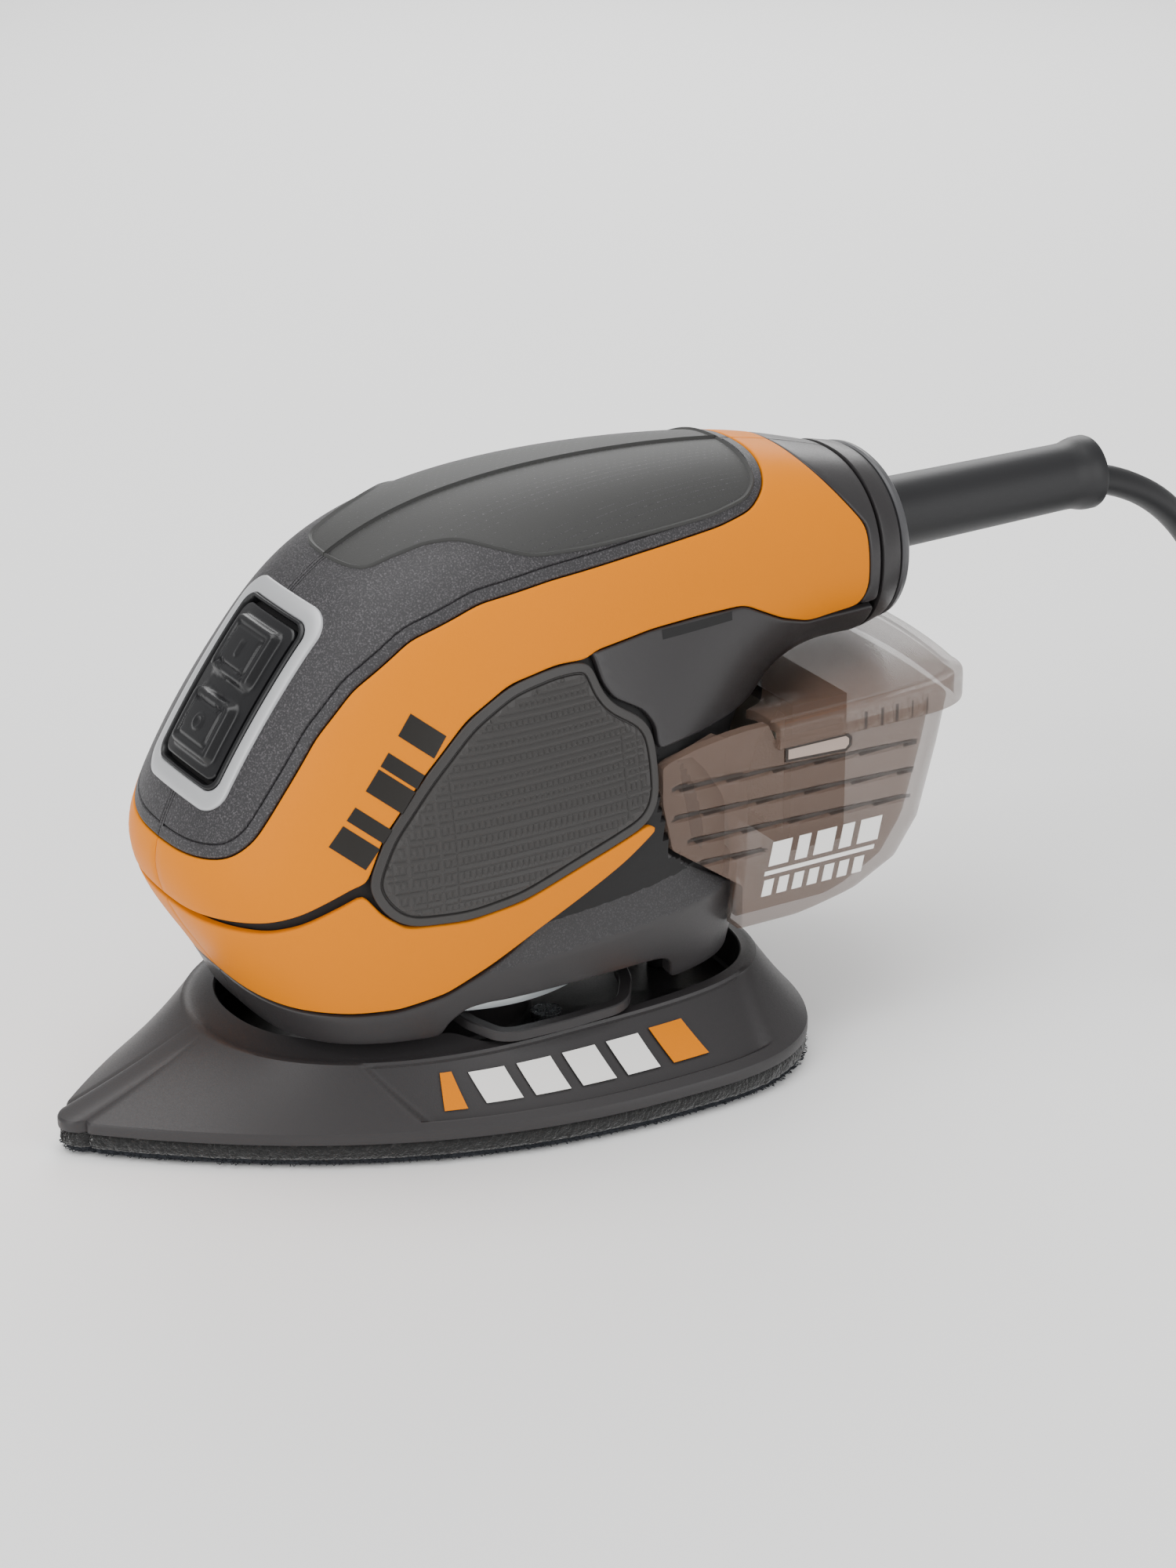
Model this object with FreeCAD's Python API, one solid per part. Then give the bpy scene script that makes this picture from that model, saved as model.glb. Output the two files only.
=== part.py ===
"""Detail mouse sander: a corded palm sander with a pointed orbital pad, a dust box and a front rocker switch.

Frame: millimetres, +Z up, nose towards -Y, cord towards +Y, the tool's own left side at +X.
Origin: the motor shaft's axis on the lowest face, where the abrasive sheet grips.
"""
import FreeCAD, Part

import math
import os

V = FreeCAD.Vector

# ---- driving dimensions -------------------------------------------------------------------------
SHEET_TIP_Y = -78.0          # pointed end of the pad
SHEET_REAR_Y = 64.0          # straight end of the pad
SHEET_WIDE_Y = 26.0          # where the pad is widest
SHEET_HALF = 47.0            # half of the pad's greatest width
HOOK_TOP = 1.0
FOAM_TOP = 4.0
PLATE_EDGE_TOP = 6.25
RIM_TOP = 17.0               # top of the platen's sloping sides
WELL_FLOOR = 9.0
RIM_FRONT_Y = -50.0
RIM_REAR_Y = 56.0
RIM_HALF = 35.0
TIP_R = 3.5
PIN_BOTTOM = 11.5            # lower end of the eccentric pin and its bearing
BOSS_TOP = 19.0
POST_R = 3.0
POST_TOP = 26.0
SCREW_R = 1.4
SCREW_TIP = 4.9
LOOP_X = 33.0                # inner face of the loop that stands out beside the arch
LOOP_Y0, LOOP_Y1 = -9.5, 20.5
ORBIT = 1.0                  # offset of the eccentric pin: the pad circles through twice this
SKIRT_BOTTOM = 21.0

SKIN = 1.5                   # soft and hard covers set into the housing
WALL = 3.0                   # housing and cover together
GAP = 0.4                    # between pieces that move apart

SHAFT_R = 4.0
BEARING_R = 11.0
BEARING_H = 7.0
RUN_FIT = 0.03               # radial clearance of a running shaft
LOWER_BEARING_Z = 38.0
UPPER_BEARING_Z = 91.0
STATOR_R = 21.0
ARMATURE_R = 15.0
DISC_R = 29.0                # balance disc seen under the arches
DISC_Z = 21.6
STATOR_Z = (50.0, 74.0)

SWITCH_MID = V(0, -41.3, 80.0)
SWITCH_LEAN = math.degrees(math.atan2(16.98, 28.64))   # the front face leans back by this much
PIVOT_DEPTH = 3.0             # the rocker's pivot, behind the face
PIVOT_R = 1.2

CHEEK_HALF = 34.2            # half width of the dust box
RECESS_HALF = 31.6           # half width of the housing between the box's cheeks
BOX_WALL = 2.0
LID_REAR = 97.6

SLEEVE_Z = 87.0
SLEEVE_END_Y = 144.0
CORD_D = 5.8
SLEEVE_ROOT_R = 5.4          # where the sleeve passes through the tail's walls

# Body sections: inner point (y, z), outer point (y, z), half width, roundness outside and inside.
BODY_ROWS = [
    ((50, 21), (-42.4, 21), 32, 3.2, 3.8),
    ((51, 29), (-47, 29.5), 34.5, 3.0, 3.6),
    ((51.5, 37), (-53, 39), 36.5, 2.8, 3.4),
    ((52, 44), (-57, 49), 37.5, 2.6, 3.2),
    ((52.5, 49.5), (-55.5, 58.5), 37.5, 2.5, 3.0),
    ((53.5, 54), (-48.5, 71.5), 36.5, 2.5, 2.8),
    ((55.5, 58), (-38.5, 86), 34.5, 2.5, 2.6),
    ((58.5, 62), (-25, 99.8), 32, 2.5, 2.5),
    ((62, 65), (-4, 108.2), 29, 2.5, 2.4),
    ((66, 67), (22, 110.8), 26, 2.5, 2.3),
    ((71, 68), (47, 110.0), 23.5, 2.4, 2.2),
    ((76, 68.3), (66, 107.4), 21.8, 2.3, 2.2),
    ((82, 68), (81, 103.4), 20, 2.2, 2.2),
]
TAIL_Y = 82.0

# Side-view outlines (y, z) of what is set into the housing.
COVER_EDGE = [(-58, 55.3), (-55.5, 55.9), (-52, 57.5), (-48.5, 61), (-43, 69), (-36.5, 78),
              (-29.5, 85.5), (-19, 93), (-6, 97.5), (8, 99.2), (26, 100.2), (45.5, 101), (53, 102),
              (58, 104.5), (61.5, 108), (62.5, 112)]
PAD_EDGE = [(-25, 101.2), (-21, 101.2), (-16, 103.2), (-10, 105), (-4.6, 105.6), (0.4, 104.2),
            (6, 102.5), (17, 102.2), (34, 102.3), (44.4, 102.4), (53, 103.3), (57.4, 105.4), (59.5, 112)]
GRIP_EDGE = [(-33.5, 53.5), (-29.5, 62), (-21.7, 71), (-12.5, 79.5), (-3.7, 84.2), (5.8, 85.8),
             (13, 85.4), (14.2, 80), (17, 75.5), (24, 69.3), (25, 65), (24.8, 58), (22, 54),
             (8.4, 50), (-4.3, 45.6), (-15, 44.2), (-26.6, 45), (-30.7, 48)]
BAND_TOP = [(-60, 42), (-54.4, 44.6), (-48.3, 45.6), (-44, 47.4), (-39.5, 50), (-34, 53)]
BAND_BOTTOM = [(-50, 28.4), (-42, 27.4), (-33.8, 27.2), (-26.3, 27.6), (-18, 29.6), (-9.6, 34),
               (-0.7, 39.2), (8.5, 44), (16.6, 48.2), (24, 52.6)]
REAR_TOP = [(13, 86.4), (26.4, 87.4), (37, 87.2), (48.3, 86.4), (57.9, 81.2), (65.4, 78.3)]
TAIL_EDGE = [(65.4, 78.3), (77.5, 78.6), (79, 82), (78.8, 94), (72.7, 102), (69, 107), (68, 114)]
BOX_SIDE = [(25.8, 62.8), (25.9, 56), (28, 46.5), (43, 36), (42.8, 27), (58, 27), (72, 29.5),
            (80, 33.5), (84.5, 40), (88.5, 54), (90.5, 62), (99, 64), (45, 64), (42, 65.6), (34, 65)]
BOX_HOLLOW = [(48, 29), (58, 29), (71.5, 31.5), (78.5, 35.2), (82.6, 41.2), (86.4, 54.4), (88.5, 70), (48, 70)]


# ---- small helpers ------------------------------------------------------------------------------
def box(x0, y0, z0, x1, y1, z1):
    return Part.makeBox(x1 - x0, y1 - y0, z1 - z0, V(x0, y0, z0))


def rod(radius, z0, z1, x=0.0, y=0.0):
    return Part.makeCylinder(radius, z1 - z0, V(x, y, z0))


def tube(outer, inner, z0, z1, x=0.0, y=0.0):
    return rod(outer, z0, z1, x, y).cut(rod(inner, z0 - 1, z1 + 1, x, y))


def rod_x(radius, x0, x1, y, z):
    return Part.makeCylinder(radius, x1 - x0, V(x0, y, z), V(1, 0, 0))


def rod_y(radius, y0, y1, z, x=0.0):
    return Part.makeCylinder(radius, y1 - y0, V(x, y0, z), V(0, 1, 0))


def group(shapes):
    """Several separate solids kept in one node."""
    return Part.makeCompound(shapes)


def mirrored(shape):
    return shape.mirror(V(0, 0, 0), V(1, 0, 0))


def edges_through(points, smooth):
    """Edges through 3-D points: one smooth curve, or straight runs."""
    if smooth:
        curve = Part.BSplineCurve()
        curve.interpolate(Points=points)
        return [curve.toShape()]
    return [Part.LineSegment(a, b).toShape() for a, b in zip(points, points[1:])]


def side_prism(parts, x0, x1):
    """A prism along X. parts is a list of (outline points (y, z), smooth), joined end to end."""
    edges = []
    first = last = None
    for outline, smooth in parts:
        points = [V(x0, y, z) for y, z in outline]
        if last is not None and (last - points[0]).Length > 1e-6:
            edges += edges_through([last, points[0]], False)
        edges += edges_through(points, smooth)
        first = first or points[0]
        last = points[-1]
    if (last - first).Length > 1e-6:
        edges += edges_through([last, first], False)
    return Part.Face(Part.Wire(edges)).extrude(V(x1 - x0, 0, 0))


# ---- body surface -------------------------------------------------------------------------------
def section_points(row, inset, steps=12):
    """Half of one body section (x >= 0), from the outer point round to the inner one: a superellipse in the plane
    through X and the row's two points."""
    (iy, iz), (oy, oz), half, n_out, n_in = row
    inner, outer = V(0, iy, iz), V(0, oy, oz)
    along = outer - inner
    reach = along.Length / 2 - inset
    along.normalize()
    middle = (inner + outer) / 2
    half = half - inset
    points = []
    for k in range(steps + 1):
        turn = math.pi * k / steps
        c, s = math.cos(turn), math.sin(turn)
        if k in (0, steps):
            s = 0.0
        n = n_out if c >= 0 else n_in
        r = (abs(c / reach) ** n + abs(s / half) ** n) ** (-1 / n)
        points.append(middle + along * (r * c) + V(r * s, 0, 0))
    return points


def section_wire(row, inset):
    """One whole closed section."""
    right = section_points(row, inset)
    left = [V(-p.x, p.y, p.z) for p in reversed(right[1:-1])]
    curve = Part.BSplineCurve()
    curve.interpolate(Points=right + left, PeriodicFlag=True)
    return Part.Wire([curve.toShape()])


def body_half(inset):
    """The left half of the body's closed form, inset from the outside. An inset form runs on below the skirt and
    stops inside the tail."""
    rows = list(BODY_ROWS)
    if inset > 0:
        (iy, iz), (oy, oz), half, n_out, n_in = rows[0]
        rows[0] = ((iy - 1, iz - 6), (oy + 3, oz - 6), half - 1.5, n_out, n_in)
        (iy, iz), (oy, oz), half, n_out, n_in = rows[-1]
        rows[-1] = ((iy - inset, iz), (oy - inset, oz), half, n_out, n_in)
    surface = Part.BSplineSurface()
    surface.interpolate([section_points(row, inset) for row in rows])
    side = surface.toShape()
    spans = [(e, e.valueAt((e.FirstParameter + e.LastParameter) / 2).x) for e in side.Edges]
    flat_edges = [e for e, x in spans if abs(x) < 1e-6]
    faces = [side]
    lines = []
    for rim in [e for e, x in spans if abs(x) >= 1e-6]:
        a, b = rim.valueAt(rim.FirstParameter), rim.valueAt(rim.LastParameter)
        line = Part.LineSegment(a, b).toShape()
        lines.append(line)
        faces.append(Part.Face(Part.Wire(Part.__sortEdges__([rim, line]))))
    faces.append(Part.Face(Part.Wire(Part.__sortEdges__(flat_edges + lines))))
    shell = Part.Shell(faces)
    shell.sewShape()
    solid = Part.Solid(shell)
    if solid.Volume < 0:
        solid.reverse()
    return solid


def body_solid(inset):
    half = body_half(inset)
    return half.fuse(mirrored(half))


# ---- platen -------------------------------------------------------------------------------------
def pad_width(y, inset):
    """Half width of the pad at y: bowed sides that meet in a rounded tip, and a full round rear."""
    half = SHEET_HALF - inset
    tip, rear = SHEET_TIP_Y + 1.5 * inset, SHEET_REAR_Y - inset
    if y <= tip or y >= rear:
        return 0.0
    if y > SHEET_WIDE_Y:
        return half * (1 - ((y - SHEET_WIDE_Y) / (rear - SHEET_WIDE_Y)) ** 2.9) ** (1 / 2.9)
    apex = tip - 0.41 * TIP_R
    side = half * (1 - ((SHEET_WIDE_Y - y) / (SHEET_WIDE_Y - apex)) ** 2.23)
    depth = min(y - tip, TIP_R)
    return min(side, math.sqrt(2 * TIP_R * depth - depth ** 2) + max(0.0, y - tip - TIP_R) * 50)


def rim_width(y, inset):
    """Half width of the platen's upper rim at y: blunt at the front, squarer behind."""
    front, rear = RIM_FRONT_Y + inset, RIM_REAR_Y - inset
    off = (y - (front + rear) / 2) / ((rear - front) / 2)
    if abs(off) >= 1:
        return 0.0
    n = 2.2 if off < 0 else 4.0
    return (RIM_HALF - inset) * (1 - abs(off) ** n) ** (1 / n)


def half_outline(width, inset, steps=26):
    """Points (x, y) of the right half of an outline, from its front to its rear, at set angles about the shaft."""
    points = []
    for k in range(steps + 1):
        turn = math.pi * (k / steps) ** 1.5 - math.pi / 2
        inside, outside = 0.0, 150.0
        while outside - inside > 1e-7:
            r = (inside + outside) / 2
            if r * math.cos(turn) < width(r * math.sin(turn), inset):
                inside = r
            else:
                outside = r
        x = 0.0 if k in (0, steps) else inside * math.cos(turn)
        points.append((x, inside * math.sin(turn)))
    return points


def plan_wire(points, z):
    """Closed smooth outline at a height, from its right half."""
    right = [V(x, y, z) for x, y in points]
    left = [V(-p.x, p.y, p.z) for p in reversed(right[1:-1])]
    curve = Part.BSplineCurve()
    curve.interpolate(Points=right + left, PeriodicFlag=True)
    return Part.Wire([curve.toShape()])


def slope_points(t, inset=0.0):
    """Part way up the platen's sloping side: t runs from 0 at the plate to 1 at the rim."""
    low, high = half_outline(pad_width, inset), half_outline(rim_width, inset)
    return [((1 - t) * a[0] + t * b[0], (1 - t) * a[1] + t * b[1]) for a, b in zip(low, high)]


def prism_z(points, z0, z1):
    return Part.Face(plan_wire(points, z0)).extrude(V(0, 0, z1 - z0))


POST_PLACES = [(17, -29), (-17, -29), (6.5, 43.3), (-6.5, 43.3)]
PLATEN_SCREWS = [(15, -13), (-15, -13), (15, 13), (-15, 13)]


def platen_shell():
    """Sloping hollow platen with a raised boss for its bearing and sockets for the posts."""
    plate = prism_z(half_outline(pad_width, 0), FOAM_TOP, PLATE_EDGE_TOP)
    levels = ((0.0, PLATE_EDGE_TOP), (0.5, 11.2), (1.0, RIM_TOP))
    slope = Part.makeLoft([plan_wire(slope_points(t), z) for t, z in levels], True, False, False, 3)
    shell = plate.fuse(slope).cut(prism_z(half_outline(rim_width, 2.5), WELL_FLOOR, RIM_TOP + 5))
    shell = shell.fuse(rod(15, WELL_FLOOR - 1, BOSS_TOP, ORBIT, 0))
    for x, y in POST_PLACES:
        shell = shell.fuse(rod(POST_R + 1.5, WELL_FLOOR - 1, 14, x, y))
    shell = shell.cut(rod(BEARING_R, PIN_BOTTOM, 25, ORBIT, 0)).cut(rod(6, 6, 12, ORBIT, 0))
    for x, y in POST_PLACES:
        shell = shell.cut(rod(POST_R, WELL_FLOOR, 15, x, y))
    for x, y in PLATEN_SCREWS:
        shell = shell.cut(rod(SCREW_R, SCREW_TIP, 20, x, y))
    return shell.removeSplitter()


def make_platen_parts(parts):
    parts["platen_shell"] = platen_shell()
    parts["foam_pad"] = prism_z(half_outline(pad_width, 0.4), HOOK_TOP, FOAM_TOP)
    parts["hook_sheet"] = prism_z(half_outline(pad_width, 0.8), 0, HOOK_TOP)
    parts["platen_bearing"] = tube(BEARING_R, SHAFT_R + RUN_FIT, PIN_BOTTOM, PIN_BOTTOM + BEARING_H, ORBIT, 0)
    screws = [rod(SCREW_R, SCREW_TIP, WELL_FLOOR, x, y).fuse(rod(2 * SCREW_R, WELL_FLOOR, 10.6, x, y))
              for x, y in PLATEN_SCREWS]
    parts["platen_screws"] = group(screws)
    thick = 2.4
    loop = box(LOOP_X, LOOP_Y0, RIM_TOP + 0.4, LOOP_X + thick, LOOP_Y1, SKIRT_BOTTOM - 1.2)
    for y in (LOOP_Y0, LOOP_Y1 - thick):
        loop = loop.fuse(box(LOOP_X - 8, y, RIM_TOP + 0.4, LOOP_X, y + thick, SKIRT_BOTTOM - 1.2))
        loop = loop.fuse(box(LOOP_X - 8, y, WELL_FLOOR, LOOP_X - 8 + thick, y + thick, RIM_TOP + 0.4))
    parts["platen_loop"] = loop.removeSplitter()
    parts["platen_posts"] = group([rod(POST_R, WELL_FLOOR, POST_TOP, x, y) for x, y in POST_PLACES])


# ---- motor --------------------------------------------------------------------------------------
def ring_sector(outer, inner, z0, z1, mid_deg, span_deg):
    ring = tube(outer, inner, z0, z1)
    wedge = Part.makeCylinder(outer + 5, z1 - z0, V(0, 0, z0), V(0, 0, 1), span_deg)
    wedge.rotate(V(0, 0, 0), V(0, 0, 1), mid_deg - span_deg / 2)
    return ring.common(wedge)


def make_motor_parts(parts):
    z0, z1 = STATOR_Z
    coils = [ring_sector(19, ARMATURE_R + 0.8, z0 - 4, z1 + 4, mid, 110) for mid in (90, 270)]
    stator = tube(STATOR_R, ARMATURE_R + 0.5, z0, z1)
    for coil in coils:
        stator = stator.cut(coil)
    parts["motor_stator"] = stator
    parts["field_coils"] = group(coils)
    parts["armature_shaft"] = rod(SHAFT_R, 20.5, 99)
    core = tube(ARMATURE_R, SHAFT_R, z0 + 1, z1 - 1)
    for k in range(12):
        slot = box(10.5, -0.8, z0, 20, 0.8, z1)
        slot.rotate(V(0, 0, 0), V(0, 0, 1), 30 * k)
        core = core.cut(slot)
    parts["armature_core"] = core
    parts["armature_winding"] = group([tube(13, SHAFT_R, z0 - 3, z0 + 1), tube(13, SHAFT_R, z1 - 1, z1 + 3)])
    parts["commutator"] = tube(8, SHAFT_R, z1 + 4.5, z1 + 13)
    parts["lower_bearing"] = tube(BEARING_R, SHAFT_R + RUN_FIT, LOWER_BEARING_Z, LOWER_BEARING_Z + BEARING_H)
    parts["upper_bearing"] = tube(BEARING_R, SHAFT_R + RUN_FIT, UPPER_BEARING_Z, UPPER_BEARING_Z + BEARING_H)
    hub = rod(SHAFT_R, PIN_BOTTOM, BOSS_TOP + 0.4, ORBIT, 0).fuse(rod(7, BOSS_TOP + 0.4, 24, 0, 0))
    parts["eccentric_hub"] = hub.cut(rod(SHAFT_R, 20.5, 25)).removeSplitter()
    fan = tube(27, SHAFT_R, 24.4, 26)
    for k in range(16):
        blade = box(9, -0.7, 26, 25, 0.7, 34)
        blade.rotate(V(9, 0, 0), V(0, 0, 1), 24)
        blade.rotate(V(0, 0, 0), V(0, 0, 1), 22.5 * k)
        fan = fan.fuse(blade)
    parts["cooling_fan"] = fan.fuse(tube(7, SHAFT_R, 26, 34)).removeSplitter()
    disc = tube(DISC_R, 7, DISC_Z, DISC_Z + 1.2)
    parts["counterweight"] = disc.fuse(ring_sector(24, 10, DISC_Z + 1.2, 24.0, 180, 150)).removeSplitter()
    brush_z = z1 + 8.75
    holders, brushes, springs = [], [], []
    for side in (1, -1):
        outer = box(11, -4, brush_z - 4, 25, 4, brush_z + 4)
        bore = box(10, -2.5, brush_z - 2.5, 23.5, 2.5, brush_z + 2.5)
        brush = box(8.2, -2.5, brush_z - 2.5, 17, 2.5, brush_z + 2.5)
        spring = Part.makeCylinder(2.0, 6.5, V(17, 0, brush_z), V(1, 0, 0))
        for solid, store in ((outer.cut(bore), holders), (brush, brushes), (spring, springs)):
            store.append(solid if side > 0 else mirrored(solid))
    parts["brush_holders"] = group(holders)
    parts["brushes"] = group(brushes)
    parts["brush_springs"] = group(springs)
    parts["suppressor"] = box(-9, 30, 92, 9, 38, 102)


# ---- housing ------------------------------------------------------------------------------------
SCREW_PLACES = [(-44, 38), (44, 95), (62, 101), (43, 58), (-45, 55)]


def housing_cavity(inner):
    """The hollow inside the halves: the inner form less the motor's seats and the screw posts."""
    z0, z1 = STATOR_Z
    cavity = inner
    for z, reach in ((LOWER_BEARING_Z, 16), (UPPER_BEARING_Z, 15)):
        seat = box(-40, -reach, z, 40, reach, z + BEARING_H)
        cavity = cavity.cut(seat.cut(rod(BEARING_R, z - 1, z + BEARING_H + 1)))
    for z in (z0 + 2, z1 - 5):
        seat = box(-40, -12, z, 40, 12, z + 3)
        cavity = cavity.cut(seat.cut(rod(STATOR_R, z - 1, z + 4)))
    for y, z in SCREW_PLACES:
        cavity = cavity.cut(rod_x(3.4, -60, 60, y, z))
    return cavity


def regions():
    """Side-view prisms for the left half's set-in pieces."""
    x0, x1 = -2, 70
    cover = side_prism([(COVER_EDGE, True), ([(62.5, 130), (-75, 130), (-75, 55.3)], False)], x0, x1)
    pad = side_prism([(PAD_EDGE, True), ([(59.5, 130), (-25, 130)], False)], x0, x1)
    grip = side_prism([(GRIP_EDGE + [GRIP_EDGE[0]], False)], x0, x1)
    band = side_prism([(BAND_TOP, True), ([(-30.7, 48), (-26.6, 45), (-15, 44.2), (-4.3, 45.6), (8.4, 50), (22, 54)],
                                          False), (list(reversed(BAND_BOTTOM)), True),
                       ([(-62, 28.4), (-62, 42)], False)], x0, x1)
    skirt = side_prism([(BAND_BOTTOM, True), ([(60, 52.6), (60, 10), (-62, 10), (-62, 28.4)], False)], -70, x1)
    rear = side_prism([([(13, 60), (13, 86.4)], False), (REAR_TOP, True),
                       ([(84, 78.3), (84, 50), (26, 50), (24, 52.6)], False)], x0, x1)
    tail = side_prism([(TAIL_EDGE, False), ([(95, 114), (95, 78.3)], False)], x0, x1)
    return cover, pad, grip, band, skirt, rear, tail


def on_front(shape):
    """Place a shape modelled flat (X across, Y up the face, Z outwards) on the leaning front face."""
    shape = shape.copy()
    shape.rotate(V(0, 0, 0), V(1, 0, 0), 90 - SWITCH_LEAN)
    shape.translate(SWITCH_MID)
    return shape


def rounded_plate(half_x, half_y, z0, z1, radius):
    plate = box(-half_x, -half_y, z0, half_x, half_y, z1)
    upright = [e for e in plate.Edges if abs(e.tangentAt(e.FirstParameter).z) > 0.99]
    return plate.makeFillet(radius, upright)


def make_housing_parts(parts):
    outer, middle, inner = body_solid(0), body_solid(SKIN), body_solid(WALL)
    bezel_seat = on_front(rounded_plate(14.5, 20.5, -9, 6, 5)).cut(body_solid(SKIN + 1))
    switch_room = on_front(rounded_plate(12.5, 18.5, -18, 3, 3))
    cheek = side_prism([([(25, 66.2), (25.2, 57.8), (27.4, 46), (42.4, 35.6), (42.2, 20), (60, 20), (60, 66.2)],
                         False)], RECESS_HALF, 60)
    recess = cheek.fuse(mirrored(cheek))
    outer = outer.cut(recess)
    cavity = housing_cavity(inner.cut(side_prism([([(20, 10), (20, 90), (60, 90), (60, 10)], False)],
                                                 RECESS_HALF - WALL, 60)).cut(
        mirrored(side_prism([([(20, 10), (20, 90), (60, 90), (60, 10)], False)], RECESS_HALF - WALL, 60))))
    hollow = outer.cut(cavity).cut(rod_y(8.0, 40, 60, 43)).cut(rod_y(SLEEVE_ROOT_R, 76, 84, SLEEVE_Z))
    cover_p, pad_p, grip_p, band_p, skirt_p, rear_p, tail_p = regions()
    skirt = hollow.common(skirt_p)
    arch = box(-60, -17, 10, 60, 29, 25.5)
    arch = arch.cut(box(-24, -30, 5, 24, 40, 30))
    parts["base_skirt"] = skirt.cut(arch)
    left = hollow.cut(skirt_p).common(box(0, -80, 0, 60, 100, 130))
    skin = left.cut(middle)
    cover = skin.common(cover_p).cut(pad_p).cut(bezel_seat)
    pad = skin.common(pad_p).common(cover_p)
    grip = skin.common(grip_p)
    band = skin.common(band_p).cut(grip_p)
    tail = skin.common(tail_p)
    rear = skin.common(rear_p).cut(grip_p).cut(tail_p)
    shell = left.cut(bezel_seat).cut(switch_room)
    for piece in (cover, pad, grip, band, tail, rear):
        shell = shell.cut(piece)
    for y, z in SCREW_PLACES:
        shell = shell.cut(rod_x(1.5, -1, 13, y, z))
    vent = box(20, 29, 84.6, 40, 44, 86.6)
    rear = rear.cut(vent)
    left_parts = {"housing": shell, "top_cover": cover, "palm_pad": pad, "side_grip": grip,
                  "lower_band": band, "tail_panel": tail, "rear_panel": rear}
    for name, shape in left_parts.items():
        parts["left_" + name] = shape
        parts["right_" + name] = mirrored(shape)
    screws = []
    for y, z in SCREW_PLACES:
        for name in ("right_housing", "right_top_cover", "right_rear_panel", "right_lower_band", "right_tail_panel"):
            parts[name] = parts[name].cut(rod_x(3.1, -45, -13, y, z))
        screws.append(rod_x(1.5, -13, 12, y, z).fuse(rod_x(2.9, -15.5, -13, y, z)))
    parts["housing_screws"] = group(screws)


def make_switch_parts(parts):
    proud, behind = body_solid(-0.5), body_solid(SKIN + 1)
    frame = on_front(rounded_plate(14.4, 20.4, -9, 6, 4.9).cut(rounded_plate(10.95, 16.65, -10, 7, 3)))
    parts["switch_bezel"] = frame.common(proud).cut(behind)
    lining = rounded_plate(10.9, 16.6, -5, -1.2, 3).cut(rounded_plate(9.9, 15.6, -6, 0, 2.4))
    parts["switch_boot_frame"] = on_front(lining)
    rocker = rounded_plate(9.3, 14.9, -3.4, 0.2, 2.2)
    for y in (-7.2, 7.2):
        raised = rounded_plate(7, 5.6, 0, 1.2, 1.2)
        raised.translate(V(0, y, 0))
        rocker = rocker.fuse(raised)
    rocker = rocker.fuse(rod_x(PIVOT_R, -9.3, 9.3, 0, -PIVOT_DEPTH))
    parts["switch_rocker"] = on_front(rocker.removeSplitter())
    body = rounded_plate(11, 16.5, -17, -7.5, 1).fuse(box(-2, -1.2, -7.5, 2, 1.2, -6.4))
    parts["switch_body"] = on_front(body.removeSplitter())


# ---- tail and cord ------------------------------------------------------------------------------
CORD_ROUTE = [(0, 131, 87), (0, 142, 86.4), (-0.5, 153, 83), (-1.8, 163.5, 77), (-3.8, 173, 68), (-6.2, 181, 56.5),
              (-9, 188, 44), (-12, 195, 32), (-15.2, 203, 20.5), (-18.4, 213, 11), (-20.8, 225, 5), (-21.6, 238, 2.9)]
COIL_MID = (22.0, 238.0)
COIL_R = 32.0
COIL_COLUMNS = 5
COIL_LAYERS = 2
END_ROUTE = [(65.6, 238, 8.7), (65.6, 229, 8.6), (65.6, 215, 6.7), (65.6, 206, 6.5)]
PLUG_HALF = 17.5
PLUG_THICK = 13.0


def rounded_route(points, diameter):
    """Straight runs joined by tangent arcs, each as large as its two runs allow."""
    points = [V(*p) for p in points]
    edges = []
    start = points[0]
    length = 0.0
    for before, corner, after in zip(points, points[1:], points[2:]):
        into, out = corner - before, after - corner
        run = min(into.Length, out.Length)
        into.normalize()
        out.normalize()
        turn = into.getAngle(out)
        trim = 0.45 * run
        radius = trim / math.tan(turn / 2)
        a, b = corner - into * trim, corner + out * trim
        toward = out - into
        toward.normalize()
        apex = corner + toward * (radius / math.cos(turn / 2) - radius)
        edges.append(Part.LineSegment(start, a).toShape())
        edges.append(Part.Arc(a, apex, b).toShape())
        length += (a - start).Length + radius * turn
        print("cord arc radius", round(radius, 1), "=", round(radius / diameter, 1), "diameters")
        start = b
    edges.append(Part.LineSegment(start, points[-1]).toShape())
    length += (points[-1] - start).Length
    return Part.Wire(edges), length


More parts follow.
